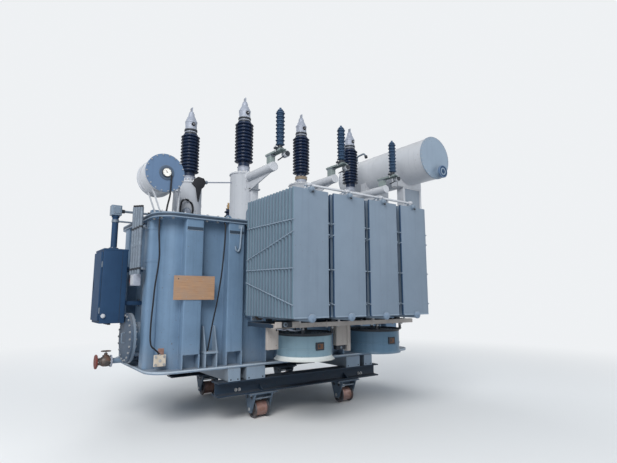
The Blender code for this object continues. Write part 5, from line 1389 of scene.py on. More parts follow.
def add_arrester_clamp(piece, x):
    """The clamp ring at the arrester's foot with its terminal, and the round counter beside it."""
    low, high = ARRESTER_SEAT - 0.002, ARRESTER_SEAT + 0.022
    clamp = [(0.047, low), (0.062, low), (0.062, high), (0.047, high)]
    piece.turn(clamp, 24, (x, ARRESTER_Y, 0), DARK_PAINT_AND_SHADE, closed=True)
    levels = (ARRESTER_SEAT - 0.004, ARRESTER_SEAT + 0.03)
    piece.add(block((x - 0.105, x - 0.056), about(ARRESTER_Y, 0.025), levels, 0.004), DARK_PAINT_AND_SHADE)
    ends = [(x - 0.085, ARRESTER_Y, z) for z in about(ARRESTER_SEAT, 0.05)]
    piece.add(rod(*ends, 0.01, 8), BOLT_STEEL)
    for y_range, radius, edge, finish in (((-1.4, -1.3), 0.052, 0.006, WHITE_PAINT),
                                          ((-1.412, -1.398), 0.042, 0.003, DARK_PAINT_AND_SHADE)):
        ends = [(x + 0.112, y, 3.962) for y in y_range]
        piece.add(rod(*ends, radius, 28, edge), finish)


def make_phase_turret(index, x):
    """A phase turret with the arm, gusset, post and seat that carry its arrester."""
    piece = Piece(f"phase_turret_with_arm_{index + 1}")
    add_turret_body(piece, x, PHASE_RADIUS, PHASE_TOP)
    wall, end = PHASE_Y - PHASE_RADIUS, ARM_END_Y
    piece.add(rod((x, wall + 0.05, ARM_HEIGHT), (x, end + 0.012, ARM_HEIGHT), ARM_RADIUS, 32), WHITE_PAINT)
    cap = [(0, 0), (ARM_RADIUS, 0), (ARM_RADIUS, 0.01), (ARM_RADIUS - 0.006, 0.014), (0, 0.016)]
    piece.add(placed(turned(cap, 32), (x, end + 0.016, ARM_HEIGHT), "X", math.pi / 2), WHITE_PAINT)
    under = ARM_HEIGHT - ARM_RADIUS + 0.006
    gusset = [(wall + 0.02, under - 0.182), (wall + 0.02, under), (end + 0.09, under),
              (end + 0.1, under - 0.01)]
    piece.add(prism(gusset, "X", *about(x, 0.01), 0.002), WHITE_PAINT)
    collar = [(0.074, -0.02), (0.086, -0.016), (0.09, 0.004), (0.074, 0.014)]
    piece.add(placed(turned(collar, 32, True), (x, wall, ARM_HEIGHT), "X", math.pi / 2), WHITE_PAINT)
    seat = ARRESTER_SEAT - 0.03
    piece.add(folded_box(about(x, 0.045), (-1.15, -1.02), (ARM_HEIGHT + 0.03, seat + 0.004), "Z", 0.01),
              SEAT_GREY)
    piece.add(block(about(x, 0.06), (-1.45, -1.0), (ARRESTER_SEAT - 0.012, ARRESTER_SEAT), 0.002), SEAT_GREY)
    for hand in (-1, 1):
        web = about(x + hand * 0.054, 0.005)
        piece.add(block(web, (-1.446, -1.004), (seat, ARRESTER_SEAT - 0.01), 0.002), SEAT_GREY)
        for y in (-1.045, -1.125):
            piece.bolt((x + hand * 0.035, y, ARRESTER_SEAT), UP, 0.022)
    piece.add(block(about(x, 0.05), (-1.16, -1.01), (seat - 0.012, seat + 0.006), 0.003), CAP_METAL)
    add_arrester_clamp(piece, x)
    piece.add(pipe([(x + 0.08, -1.345, 3.93), (x + 0.05, -1.33, 3.9), (x + 0.03, -1.25, 3.875)], 0.01),
              DARK_PAINT_AND_SHADE)
    piece.add(folded_box((x + 0.015, x + 0.155), (wall - 0.055, wall + 0.06), (3.59, 3.845), "Z", 0.012),
              WHITE_PAINT)
    piece.add(block((x - 0.01, x + 0.18), (wall - 0.07, wall + 0.06), (3.568, 3.592), 0.003), WHITE_PAINT)
    piece.add(folded_box((x + 0.015, x + 0.155), (wall - 0.045, wall + 0.06), (3.18, 3.57), "Z", 0.012),
              WHITE_PAINT)
    piece.add(block((x + 0.02, x + 0.12), (wall - 0.058, wall - 0.05), (3.818, 3.838), 0.002), DARK_PAINT_AND_SHADE)
    seam = x - 0.3 * PHASE_RADIUS
    piece.add(rod((seam, wall + 0.008, 3.56), (seam, wall + 0.008, PHASE_TOP - 0.02), 0.008, 10), WHITE_PAINT)
    piece.done("white_paint", f"phase_turret_{index + 1}")


def make_neutral_turret():
    """The lower turret with its black wrap, cable loop, thin stay and round cover."""
    piece = Piece("neutral_turret_body")
    add_turret_body(piece, NEUTRAL_X, NEUTRAL_RADIUS, NEUTRAL_TOP)
    wrap = [(-1.78, 3.52), (-1.712, 3.462), (-1.69, 3.35), (-1.662, 3.235), (-1.64, 3.345), (-1.618, 3.455),
            (-1.575, 3.495), (-1.548, 3.575), (-1.585, 3.635), (-1.68, 3.65), (-1.74, 3.6)]
    piece.add(prism(wrap, "Y", -0.382, -0.275, 0.008, 2), BLACK_RUBBER)
    stay = [(-1.6, PHASE_Y, 3.568), (-1.56, PHASE_Y, 3.6), (-1.454, PHASE_Y, 3.636), (-0.992, PHASE_Y, 3.706)]
    piece.add(pipe(rounded_bend(stay, 0.02, 3), 0.011), CAP_METAL)
    piece.turn([(0, -0.034), (0.024, -0.024), (0.034, 0.0), (0.024, 0.024), (0, 0.034)], 20,
               (-1.454, PHASE_Y, 3.636), GALVANISED)
    loop = [(-1.95, -0.372, COVER_TOP + 0.004), (-1.955, -0.372, 3.1), (-1.93, -0.372, 3.235),
            (-1.845, -0.372, 3.258), (-1.765, -0.372, 3.2), (-1.742, -0.372, 3.1),
            (-1.79, -0.38, COVER_TOP + 0.032)]
    piece.add(pipe(rounded_bend(loop, 0.05, 5), 0.015), BLACK_RUBBER)
    piece.add(rod((-1.85, -0.345, 3.06), (-1.85, -0.4, 3.06), 0.062, 28, 0.006), GALVANISED)
    piece.add(rod((-1.85, -0.398, 3.06), (-1.85, -0.408, 3.06), 0.045, 28, 0.002), CAP_METAL)
    piece.done("white_paint", "neutral_turret")


def shed_points(core, shed, count, bottom, height, small_shed=0.0):
    """Points up a ribbed insulator, each shed with a rounded lip, and small sheds between them if any."""
    step = height / count
    points = [(core, bottom)]
    for index in range(count):
        level = bottom + index * step
        points += [
            (core, level + step * 0.08), (core + (shed - core) * 0.55, level + step * 0.15),
            (shed - 0.003, level + step * 0.22), (shed, level + step * 0.3),
            (shed - 0.004, level + step * 0.38), (core + (shed - core) * 0.45, level + step * 0.52),
            (core + 0.002, level + step * 0.66),
        ]
        if small_shed:
            points += [
                (core + 0.001, level + step * 0.72), (small_shed - 0.002, level + step * 0.76),
                (small_shed, level + step * 0.8), (core + 0.002, level + step * 0.92),
            ]
    points.append((core, bottom + height))
    return points


def add_bushing(piece, x, bottom, neck, porcelain, scale):
    """A porcelain bushing with its foot flange, neck, collar, metal cap and flat terminal."""
    core, shed, foot = 0.115 * scale, 0.165 * scale, 0.125 * scale
    crown, point = 0.107 * scale, 0.046 * scale
    collar = bottom + neck + porcelain
    place = (x, PHASE_Y, 0)
    skirt = bottom + neck * 0.62
    flange = raised(bottom, [(0, CONTACT_GAP), (foot, CONTACT_GAP), (foot, 0.026), (foot - 0.003, 0.03),
                             (core - 0.006, 0.034)])
    flange += raised(skirt, [(core - 0.01, -0.012), (core - 0.002, -0.008), (core - 0.002, 0), (0, 0)])
    piece.turn(flange, 48, place, CAP_METAL)
    for index in range(12):
        angle = math.tau * index / 12
        centre = Vector(place) + (core - 0.006) * Vector((math.cos(angle), math.sin(angle), 0))
        ends = [centre + Vector((0, 0, bottom + up)) for up in (0.028, 0.062)]
        piece.add(rod(*ends, 0.011, 6), BOLT_STEEL)
    body = [(0, skirt - 0.002), (core - 0.014, skirt - 0.002), (core - 0.012, bottom + neck)]
    body += [*shed_points(core + 0.014 * scale, shed, 12, bottom + neck, porcelain), (0, collar)]
    piece.turn(body, 48, place, PORCELAIN)
    cap = collar + 0.09
    band = [(0, 0), (core, 0), (core, 0.022), (core - 0.01, 0.028), (core - 0.01, 0.06), (core, 0.066),
            (core, 0.09), (0, 0.09)]
    piece.turn(band, 48, (x, PHASE_Y, collar), DARK_PAINT_AND_SHADE)
    stripe = [(core - 0.012, 0.036), (core - 0.006, 0.037), (core - 0.006, 0.051), (core - 0.012, 0.052)]
    piece.turn(stripe, 48, (x, PHASE_Y, collar), CAP_METAL, closed=True)
    cone, tip = cap + 0.15, cap + 0.315
    head = raised(cap, [(0, 0), (crown, 0), (crown, 0.018), (crown - 0.006, 0.022)])
    head += raised(cone, [(crown - 0.004, -0.03), (crown, -0.026), (crown, -0.006), (crown - 0.006, 0)])
    head += raised(tip, [(point + 0.022, -0.092), (point + 0.01, -0.08), (point + 0.006, -0.03),
                         (point - 0.006, -0.02), (point - 0.006, -0.002), (0, 0)])
    piece.turn(head, 48, place, CAP_METAL)
    piece.bolt_ring((x, PHASE_Y, cap + 0.018), UP, crown - 0.004, 8, 0.014)
    plug = Vector((math.cos(math.radians(-88)), math.sin(math.radians(-88)), 0))
    centre = Vector((x, PHASE_Y, cap + 0.08)) + plug * (crown - 0.014)
    piece.add(rod(centre, centre + plug * 0.024, 0.034 * scale, 24, 0.004), BLACK_RUBBER)
    piece.add(rod(centre + plug * 0.022, centre + plug * 0.03, 0.012, 6), BOLT_STEEL)
    palm = (tip - 0.004, tip + 0.08)
    piece.add(block(about(x, 0.008), about(PHASE_Y, 0.035), palm, 0.002), CAP_METAL)
    for across in (-0.017, 0.017):
        for up in (0.025, 0.058):
            piece.bolt((x - 0.008, PHASE_Y + across, tip + up), (-1, 0, 0), 0.014, False)


def make_bushings():
    """The three phase bushings, the middle one with a rusty clamp at its neck, and the neutral one."""
    for index, x in enumerate(PHASE_X):
        piece = Piece(f"phase_porcelain_{index + 1}")
        add_bushing(piece, x, PHASE_TOP, PHASE_NECK, PHASE_PORCELAIN, 1.0)
        if index == 1:
            clamp = [(0.1, 0.105), (0.117, 0.107), (0.12, 0.12), (0.117, 0.138), (0.121, 0.16), (0.1, 0.164)]
            piece.turn(clamp, 40, (x, PHASE_Y, PHASE_TOP), CLAMP_TAN, closed=True)
            piece.bolt_ring((x, PHASE_Y, PHASE_TOP + 0.162), UP, 0.113, 10, 0.02)
        piece.done("porcelain", f"phase_bushing_{index + 1}")
    piece = Piece("neutral_porcelain")
    add_bushing(piece, NEUTRAL_X, NEUTRAL_TOP, NEUTRAL_NECK, NEUTRAL_PORCELAIN, NEUTRAL_SCALE)
    piece.done("porcelain", "neutral_bushing")


def make_arrester(index, x):
    """A polymer arrester with its foot and the stud on its cap."""
    piece = Piece(f"polymer_arrester_{index + 1}")
    place = (x, ARRESTER_Y, ARRESTER_SEAT)
    foot = [(0, CONTACT_GAP), (0.046, CONTACT_GAP), (0.046, 0.0243), (0.04, 0.0303), (0.037, 0.0543),
            (0.037, 0.065), (0, 0.065)]
    piece.turn(foot, 32, place, DARK_PAINT_AND_SHADE)
    body = [(0, 0.061), *shed_points(0.046, 0.073, 9, 0.065, 0.575, small_shed=0.06), (0, 0.64)]
    piece.turn(body, 40, place, POLYMER)
    cap = [(0, 0.635), (0.042, 0.635), (0.042, 0.653), (0.03, 0.659), (0.018, 0.665), (0.018, 0.687),
           (0, 0.69)]
    piece.turn(cap, 24, place, POLYMER)
    piece.done("arrester_housing", f"surge_arrester_{index + 1}")


def make_low_bushing(index, x):
    """A small porcelain bushing on a round bolted flange of the cover."""
    piece = Piece(f"low_porcelain_{index + 1}")
    place, foot = (x, LOW_Y, COVER_SEAT), COVER_SEAT
    flange = [(0, 0), (0.14, 0), (0.14, 0.024), (0.136, 0.03), (0.085, 0.034), (0.072, 0.055), (0.06, 0.06),
              (0, 0.06)]
    piece.turn(flange, 40, place, WHITE_PAINT)
    piece.bolt_ring((x, LOW_Y, foot + 0.03), UP, 0.112, 8, 0.022)
    body = [(0, 0.058), *shed_points(0.042, 0.075, 5, 0.06, 0.42), (0, 0.48)]
    piece.turn(body, 36, place, PORCELAIN)
    top = foot + 0.478
    stud = [(0, 0), (0.044, 0), (0.044, 0.014), (0.03, 0.02), (0.018, 0.026), (0.018, 0.118), (0.014, 0.122),
            (0, 0.122)]
    piece.turn(stud, 24, (x, LOW_Y, top), BRASS)
    for nut in (0.04, 0.062):
        piece.add(rod((x, LOW_Y, top + nut), (x, LOW_Y, top + nut + 0.015), 0.03, 6), BRASS)
    piece.done("porcelain", f"low_voltage_bushing_{index + 1}")


def disc_along_y(y, z, x, way, profile, sides=48):
    """A turned shape whose axis runs along Y, outwards at one end."""
    return placed(turned(profile, sides), (x, y, z), "X", math.pi / 2 if way < 0 else -math.pi / 2)


# The drum's level gauge from its neck outwards: profile, sides and finish
LEVEL_GAUGE = (
    ([(0, -0.002), (0.11, -0.002), (0.11, 0.01), (0.09, 0.012), (0.09, 0.082), (0, 0.082)], 40, PALE_BLUE_PAINT_AND_HIGHLIGHT),
    ([(0, 0.08), (0.119, 0.08), (0.125, 0.086), (0.125, 0.117), (0.108, 0.12), (0.108, 0.113),
      (0, 0.113)], 48, SMALL_END_PAINT),
    ([(0, 0.112), (0.107, 0.112), (0.107, 0.115), (0.082, 0.1155), (0.08, 0.114), (0, 0.114)], 40, NAVY_PAINT_AND_SHADE),
    ([(0.05, 0.112), (0.074, 0.112), (0.074, 0.117), (0.07, 0.119), (0.054, 0.119), (0.05, 0.117),
      (0.05, 0.112)], 40, PALE_BLUE_PAINT_AND_HIGHLIGHT),
    ([(0, 0.112), (0.03, 0.112), (0.03, 0.117), (0.024, 0.119), (0, 0.119)], 32, NAVY_PAINT_AND_SHADE),
)


def make_conservator():
    """The main oil drum with its bolted end discs, saddles, level gauge and top pipe."""
    piece = Piece("oil_conservator")
    x, z, radius = CONSERVATOR_X, CONSERVATOR_Z, CONSERVATOR_RADIUS
    skin = radius - 0.011
    piece.add(rod((x, CONSERVATOR_FRONT + 0.02, z), (x, CONSERVATOR_BACK - 0.02, z), skin, 96), WHITE_PAINT)
    for y, way in ((CONSERVATOR_FRONT, -1), (CONSERVATOR_BACK, 1)):
        ring = [(skin - 0.02, 0), (radius, 0), (radius, 0.013), (skin - 0.02, 0.013)]
        disc = [(0, 0.014), (radius, 0.014), (radius, 0.027), (radius - 0.003, 0.03), (0, 0.03)]
        inner = y - way * 0.03
        for profile, finish in ((ring + [ring[0]], WHITE_PAINT), (disc, PALE_BLUE_PAINT_AND_HIGHLIGHT)):
            piece.add(disc_along_y(inner, z, x, way, profile, 96), finish)
        piece.bolt_ring((x, y - way * 0.002, z), (0, way, 0), radius - 0.017, 32, 0.018)
        piece.bolt_ring((x, inner, z), (0, -way, 0), radius - 0.0065, 32, 0.012)
    weld = [(skin - 0.01, -0.006), (skin + 0.002, -0.004), (skin + 0.003, 0), (skin + 0.002, 0.004),
            (skin - 0.01, 0.006)]
    for y in (-0.9, -0.1):
        piece.add(disc_along_y(y, z, x, 1, weld, 96), WHITE_PAINT)
    for profile, sides, finish in LEVEL_GAUGE:
        piece.add(disc_along_y(CONSERVATOR_FRONT, z - 0.29, x + 0.09, -1, profile, sides), finish)
    for y in COLUMN_Y:
        foot, half = z - radius - 0.06, 0.36
        saddle = [(x - half, foot), (x + half, foot)]
        for step in range(13):
            across = half - 2 * half * step / 12
            saddle.append((x + across, z - math.sqrt(skin ** 2 - across ** 2) + 0.004))
        for low, high in ((y - 0.09, y - 0.075), (y + 0.075, y + 0.09)):
            piece.add(prism(saddle, "Y", low, high, 0.002), WHITE_PAINT)
        piece.add(block(about(x, half), about(y, 0.09), (foot, foot + 0.018), 0.003), WHITE_PAINT)
        for across in (-0.354, -0.12, 0.12, 0.354):
            top = z - math.sqrt(skin ** 2 - across ** 2) + 0.003
            piece.add(block(about(x + across, 0.006), about(y, 0.085), (foot, top), 0.002), WHITE_PAINT)
        for across in (-0.24, 0.24):
            piece.bolt((x + across, y, foot + 0.018), UP, 0.03)
    drop = z - radius
    stub = [(0, -0.02), (0.075, -0.02), (0.075, 0), (0.042, 0.002), (0.04, 0.08), (0, 0.08)]
    piece.turn(stub, 28, (x, OIL_PIPE_Y, drop), WHITE_PAINT)
    piece.bolt_ring((x, OIL_PIPE_Y, drop), UP, 0.06, 6, 0.016, 0.3)
    for across, y in ((-0.06, 0.6), (0.1, -1.25)):
        collar = [(0, 0), (0.06, 0), (0.06, 0.03), (0.05, 0.045), (0, 0.045)]
        piece.turn(collar, 28, (x + across, y, z + skin - 0.012), WHITE_PAINT)
    top = z + skin + 0.02
    bent = [(x - 0.06, y, top + up) for y, up in ((0.6, 0), (0.6, 0.15), (0.36, 0.17), (0.3, 0.08))]
    piece.add(pipe(rounded_bend(bent, 0.05), 0.022), GALVANISED)
    piece.add(rod((x - 0.06, 0.3, top + 0.1), (x - 0.06, 0.285, top + 0.045), 0.036, 20, 0.004), DARK_PAINT_AND_SHADE)
    piece.done("white_paint", "main_conservator")


def add_gauge_marks(piece, x, y, z, radius):
    """Short marks round a dial that faces the front, with a pointer."""
    for index in range(9):
        angle = math.radians(225 - index * 33.75)
        ends = [(x + reach * math.cos(angle), y - 0.0012, z + reach * math.sin(angle))
                for reach in (radius * 0.74, radius * 0.92)]
        piece.add(rod(*ends, 0.0016, 4), DARK_PAINT_AND_SHADE)
    tip = (x + radius * 0.55 * math.cos(2.2), y - 0.003, z + radius * 0.55 * math.sin(2.2))
    piece.add(rod((x, y - 0.003, z), tip, 0.0028, 6), RED_PAINT)
    piece.add(rod((x, y, z), (x, y - 0.006, z), 0.007, 12), DARK_PAINT_AND_SHADE)


def make_column(y, where):
    """A box column from two lugs of the end wall up to the drum's saddle."""
    piece = Piece(f"conservator_post_{where}")
    (left, right), top = COLUMN_X, COLUMN_TOP
    # The web between the white flanges is grey-blue as painted shade.
    piece.add(folded_box((left + 0.04, right - 0.04), about(y, 0.078), (1.56, top - 0.016), "Z", 0.01),
              COLUMN_WEB_SHADE)
    for flange in ((left, left + 0.055), (right - 0.055, right)):
        piece.add(folded_box(flange, about(y, 0.09), (COLUMN_FOOT, top - 0.016), "Z", 0.01), WHITE_PAINT)
    piece.add(block((left, right), about(y, 0.09), (top - 0.018, top), 0.003), WHITE_PAINT)
    piece.add(block((left - 0.002, right), about(y, 0.09), (COLUMN_FOOT, COLUMN_FOOT + 0.012), 0.003),
              WHITE_PAINT)
    for z in (1.65, 2.55):
        lug = (HALF_LENGTH + CONTACT_GAP, left + 0.004)
        piece.add(block(lug, about(y, 0.072), about(z, 0.08), 0.004), WHITE_PAINT)
        for across in (-0.045, 0.045):
            for way in (1, -1):
                piece.bolt((HALF_LENGTH + 0.09, y + across, z + way * 0.08), (0, 0, way), 0.026)
    piece.done("white_paint", f"conservator_column_{where}")


def add_pipe_flange(piece, end, inner, finish):
    """A round flange at a pipe's end, with its bolts on the pipe's side."""
    end, inner = Vector(end), Vector(inner)
    along = (inner - end).normalized()
    profile = [(0, 0), (0.075, 0), (0.075, 0.016), (0.072, 0.02), (0.044, 0.024), (0, 0.024)]
    piece.add(aimed(turned(profile, 28), end, along), finish)
    piece.bolt_ring(end + along * 0.02, along, 0.06, 6, 0.016, 0.3)


def make_oil_pipes():
    """The pipe from the drum to the gas relay and the one from there down to the cover."""
    start = CONSERVATOR_Z - CONSERVATOR_RADIUS - 0.0203
    upper = ((CONSERVATOR_X, start), (CONSERVATOR_X, OIL_PIPE_Z), (2.0703, OIL_PIPE_Z))
    lower = ((1.8297, OIL_PIPE_Z), (1.55, OIL_PIPE_Z), (1.55, COVER_SEAT))
    for places, name, node in ((upper, "conservator_pipe", "oil_pipe_upper"),
                               (lower, "cover_pipe", "oil_pipe_lower")):
        run = [(x, OIL_PIPE_Y, z) for x, z in places]
        piece = Piece(name)
        piece.add(pipe(rounded_bend(run, 0.12, 8), 0.04, 5), RADIATOR_PAINT)
        add_pipe_flange(piece, run[0], run[1], RADIATOR_PAINT)
        add_pipe_flange(piece, run[-1], run[-2], RADIATOR_PAINT)
        piece.done("radiator_paint", node)


def make_gas_relay():
    """The gas relay: cast body, bolted lid, a sight glass on each side and two flanges."""
    piece = Piece("gas_relay_body")
    x, y, z = RELAY_X, OIL_PIPE_Y, OIL_PIPE_Z
    piece.add(folded_box(about(x, 0.084), about(y, 0.08), (z - 0.1, z + 0.075), "Z", 0.02), CAP_METAL)
    piece.add(block(about(x, 0.084), about(y, 0.08), (z + 0.073, z + 0.088), 0.004), CAP_METAL)
    piece.add(folded_box(about(x, 0.05), about(y, 0.05), (z + 0.085, z + 0.1), "Z", 0.02), DARK_PAINT_AND_SHADE)
    for across, deep in corners(0.066, 0.062):
        piece.bolt((x + across, y + deep, z + 0.086), UP, 0.016, False)
    for way in (-1, 1):
        window = (y + way * 0.076, y + way * 0.0795)
        piece.add(block(about(x, 0.05), window, (z - 0.055, z + 0.05), 0.001), DARK_PAINT_AND_SHADE)
        glass = (y + way * 0.078, y + way * 0.08)
        piece.add(block(about(x, 0.035), glass, (z - 0.04, z + 0.035), 0.0005), DIAL_FACE)
        end, inner = (x + way * 0.12, y, z), (x, y, z)
        piece.add(rod(end, inner, 0.04, 24), CAP_METAL)
        add_pipe_flange(piece, end, inner, CAP_METAL)
    piece.done("radiator_paint", "gas_relay")


def make_tap_head():
    """The tap changer's round head with its bolted lid and gear box."""
    piece = Piece("tap_head_dome")
    foot = COVER_SEAT
    top = foot + 0.09
    dome = [(0, 0), (0.21, 0), (0.21, 0.031), (0.206, 0.035), (0.182, 0.036), (0.18, 0.075), (0.172, 0.086),
            (0.1, 0.09), (0, 0.09)]
    piece.turn(dome, 56, (HEAD_X, HEAD_Y, foot), WHITE_PAINT)
    piece.bolt_ring((HEAD_X, HEAD_Y, foot + 0.035), UP, 0.195, 20, 0.02)
    gear = (top - 0.004, SHAFT_HEIGHT + 0.07)
    piece.add(folded_box(about(HEAD_X, 0.07), about(HEAD_Y, 0.07), gear, "Z", 0.02), TANK_PAINT)
    lid = (SHAFT_HEIGHT + 0.062, SHAFT_HEIGHT + 0.0695)
    piece.add(block(about(HEAD_X, 0.05), about(HEAD_Y, 0.05), lid), WHITE_PAINT)
    for across, deep in corners(0.052, 0.052):
        piece.bolt((HEAD_X + across, HEAD_Y + deep, SHAFT_HEIGHT + 0.06), UP, 0.014, False)
    piece.done("tank_paint", "tap_changer_head")


def make_tap_drive():
    """The drive tube up from the cabinet, its bevel gear, stay and level shaft."""
    piece = Piece("tap_drive_shafts")
    foot = CABINET_Z[1] + CONTACT_GAP
    half = 0.075
    front = HEAD_Y - half
    gear = folded_box(about(DRIVE_X, half), about(HEAD_Y, half), about(SHAFT_HEIGHT, half), "Z", 0.02)
    piece.add(gear, RADIATOR_PAINT)
    lid = (front - 0.006, front + 0.01)
    piece.add(block(about(DRIVE_X, 0.05), lid, about(SHAFT_HEIGHT, 0.05), 0.003), RADIATOR_PAINT)
    for across, up in corners(0.04, 0.04):
        piece.bolt((DRIVE_X + across, lid[0], SHAFT_HEIGHT + up), (0, -1, 0), 0.014, False)
    top = SHAFT_HEIGHT - half
    tube = [(0, foot), (0.07, foot), (0.07, foot + 0.026), (0.067, foot + 0.03), (0.049, foot + 0.034),
            (0.045, foot + 0.05), (0.045, top - 0.03), (0.056, top - 0.028), (0.056, top + 0.002),
            (0, top + 0.002)]
    piece.turn(tube, 32, (DRIVE_X, HEAD_Y, 0), NAVY_PAINT_AND_SHADE)
    piece.bolt_ring((DRIVE_X, HEAD_Y, foot + 0.03), UP, 0.058, 6, 0.014)
    start, end = DRIVE_X + half, HEAD_X - 0.0703
    piece.add(rod((start, HEAD_Y, SHAFT_HEIGHT), (end, HEAD_Y, SHAFT_HEIGHT), 0.018, 20), GALVANISED)
    for low, high in ((start - 0.002, start + 0.05), (end - 0.05, end)):
        piece.add(rod((low, HEAD_Y, SHAFT_HEIGHT), (high, HEAD_Y, SHAFT_HEIGHT), 0.03, 24, 0.003), DARK_PAINT_AND_SHADE)
    stay = (DRIVE_X, -RIM_HALF_LENGTH - CONTACT_GAP)
    piece.add(block(stay, about(HEAD_Y, 0.025), (2.86, 2.88), 0.003), GALVANISED)
    clamp = [(0.046, -0.02), (0.052, -0.02), (0.052, 0.02), (0.046, 0.02)]
    piece.turn(clamp, 32, (DRIVE_X, HEAD_Y, 2.87), GALVANISED, closed=True)
    piece.done("galvanised", "tap_changer_drive")


def make_tap_drum():
    """The tap changer's small oil drum on splayed legs, with its straps, dial and level pipe."""
    piece = Piece("tap_oil_drum")
    x, z, skin = DRUM_X, DRUM_Z, DRUM_RADIUS - 0.0135
    piece.add(rod((x, DRUM_FRONT + 0.015, z), (x, DRUM_BACK - 0.015, z), skin, 64), WHITE_PAINT)
    for y, way in ((DRUM_FRONT, -1), (DRUM_BACK, 1)):
        inner = y - way * 0.02
        ring = [(skin - 0.02, 0), (DRUM_RADIUS, 0), (DRUM_RADIUS, 0.009), (skin - 0.02, 0.009)]
        disc = [(0, 0.01), (DRUM_RADIUS, 0.01), (DRUM_RADIUS, 0.018), (DRUM_RADIUS - 0.003, 0.02), (0, 0.02)]
        for profile, finish in ((ring + [ring[0]], WHITE_PAINT), (disc, SMALL_END_PAINT)):
            piece.add(disc_along_y(inner, z, x, way, profile, 64), finish)
        piece.bolt_ring((x, y - way * 0.002, z), (0, way, 0), DRUM_RADIUS - 0.016, 18, 0.02)
    foot = COVER_SEAT
    for y in (DRUM_FRONT + 0.105, DRUM_BACK - 0.105):
        for side in (-1, 1):
            shoulder, toe = x + side * 0.243, -2.32 + side * 0.12
            leg = [(shoulder, z + 0.05), (toe, foot), (toe + 0.01, foot), (shoulder + 0.01, z + 0.05)]
            piece.add(prism(leg, "Y", *about(y, 0.025), 0.002), WHITE_PAINT)
        piece.add(block((-2.44, -2.178), about(y, 0.025), (foot, foot + 0.012), 0.002), WHITE_PAINT)
        for side in (-1, 1):
            piece.bolt((-2.32 + side * 0.09, y, foot + 0.012), UP, 0.022)
        strap = [(skin + 0.001, -0.02), (skin + 0.006, -0.02), (skin + 0.006, 0.02), (skin + 0.001, 0.02)]
        piece.add(placed(turned(strap, 64, True), (x, y, z), "X", math.pi / 2), WHITE_PAINT)
    gauge_x, gauge_z = x + 0.015, z + 0.005
    boss = [(0, -0.002), (0.104, -0.002), (0.104, 0.006), (0.098, 0.01), (0, 0.01)]
    dial = [(0, 0), (0.062, 0), (0.066, 0.004), (0.066, 0.026), (0.058, 0.03), (0.058, 0.024), (0, 0.024)]
    face = [(0, 0.022), (0.057, 0.022), (0.057, 0.026), (0, 0.026)]
    for profile, sides, finish in ((boss, 40, LID_PAINT), (dial, 32, DARK_PAINT_AND_SHADE), (face, 32, DIAL_FACE)):
        piece.add(disc_along_y(DRUM_FRONT, gauge_z, gauge_x, -1, profile, sides), finish)
    add_gauge_marks(piece, gauge_x, DRUM_FRONT - 0.026, gauge_z, 0.057)
    level = [(-2.336, -1.062, z - 0.03), (-2.345, -1.062, 3.12), (-2.36, -1.01, 2.98),
             (-2.36, -0.98, foot + 0.004)]
    piece.add(pipe(rounded_bend(level, 0.04, 4), 0.012), BLACK_RUBBER)
    piece.done("white_paint", "tap_changer_drum")


def make_cabinet():
    """The drive cabinet: folded body, rain roof, door with hinges and knob, brackets and cable glands."""
    piece = Piece("drive_cabinet")
    (low_x, high_x), (low_y, high_y), (low_z, high_z) = CABINET_X, CABINET_Y, CABINET_Z
    sides = ((low_x + 0.004, high_x), (low_y + 0.004, high_y - 0.004))
    # The cabinet's navy is darkened as painted shade.
    piece.add(folded_box(*sides, (low_z, high_z - 0.02), "Z", 0.016), NAVY_PAINT_AND_SHADE)
    piece.add(block((low_x, high_x), (low_y, high_y), (high_z - 0.03, high_z), 0.006), NAVY_PAINT_AND_SHADE)
    door = (low_x - 0.0203, low_x + 0.006)
    piece.add(folded_box(door, (low_y + 0.035, high_y - 0.035), (low_z + 0.035, high_z - 0.045), "X", 0.012),
              NAVY_PAINT_AND_SHADE)
    frame_edge = ((low_y + 0.028, high_y - 0.028), (low_z + 0.028, high_z - 0.038))
    piece.add(block((low_x + 0.002, low_x + 0.0035), *frame_edge, 0), DARK_PAINT_AND_SHADE)
    seam = ((low_y + 0.0015, low_y + 0.006), (low_z + 0.01, high_z - 0.035))
    piece.add(block((-2.712, -2.708), *seam, 0), DARK_PAINT_AND_SHADE)
    for z in (1.55, 2.2):
        ends = [(low_x - 0.004, low_y + 0.026, level) for level in about(z, 0.04)]
        piece.add(rod(*ends, 0.009, 12), GALVANISED)
    knob = [(0, 0), (0.03, 0), (0.03, 0.006), (0.014, 0.01), (0.012, 0.018), (0.02, 0.024),
            (0.022, 0.034), (0.016, 0.04), (0, 0.041)]
    piece.add(aimed(turned(knob, 24), (-2.925, low_y + 0.004, 1.475), (0, -1, 0)), WHITE_PAINT)
    piece.add(block((low_x - 0.0203, low_x - 0.012), (high_y - 0.12, high_y - 0.08), (1.84, 1.98), 0.003),
              BOLT_STEEL)
    wall, plate = -HALF_LENGTH - CONTACT_GAP, -HALF_LENGTH - 0.012
    for z in (low_z + 0.28, high_z - 0.28):
        for y in (low_y + 0.1, high_y - 0.1):
            piece.add(block((high_x - 0.01, wall), about(y, 0.03), about(z, 0.03), 0.004), NAVY_PAINT_AND_SHADE)
            piece.add(block((plate, wall), about(y, 0.055), about(z, 0.055), 0.003), NAVY_PAINT_AND_SHADE)
            for up in (-0.042, 0.042):
                piece.bolt((plate, y - 0.042, z + up), (-1, 0, 0), 0.018)
    for y in (0.0, 0.12, 0.24):
        piece.add(rod((-2.8, y, low_z - 0.03), (-2.8, y, low_z + 0.005), 0.024, 6), DARK_PAINT_AND_SHADE)
    piece.done("tank_paint", "motor_cabinet")


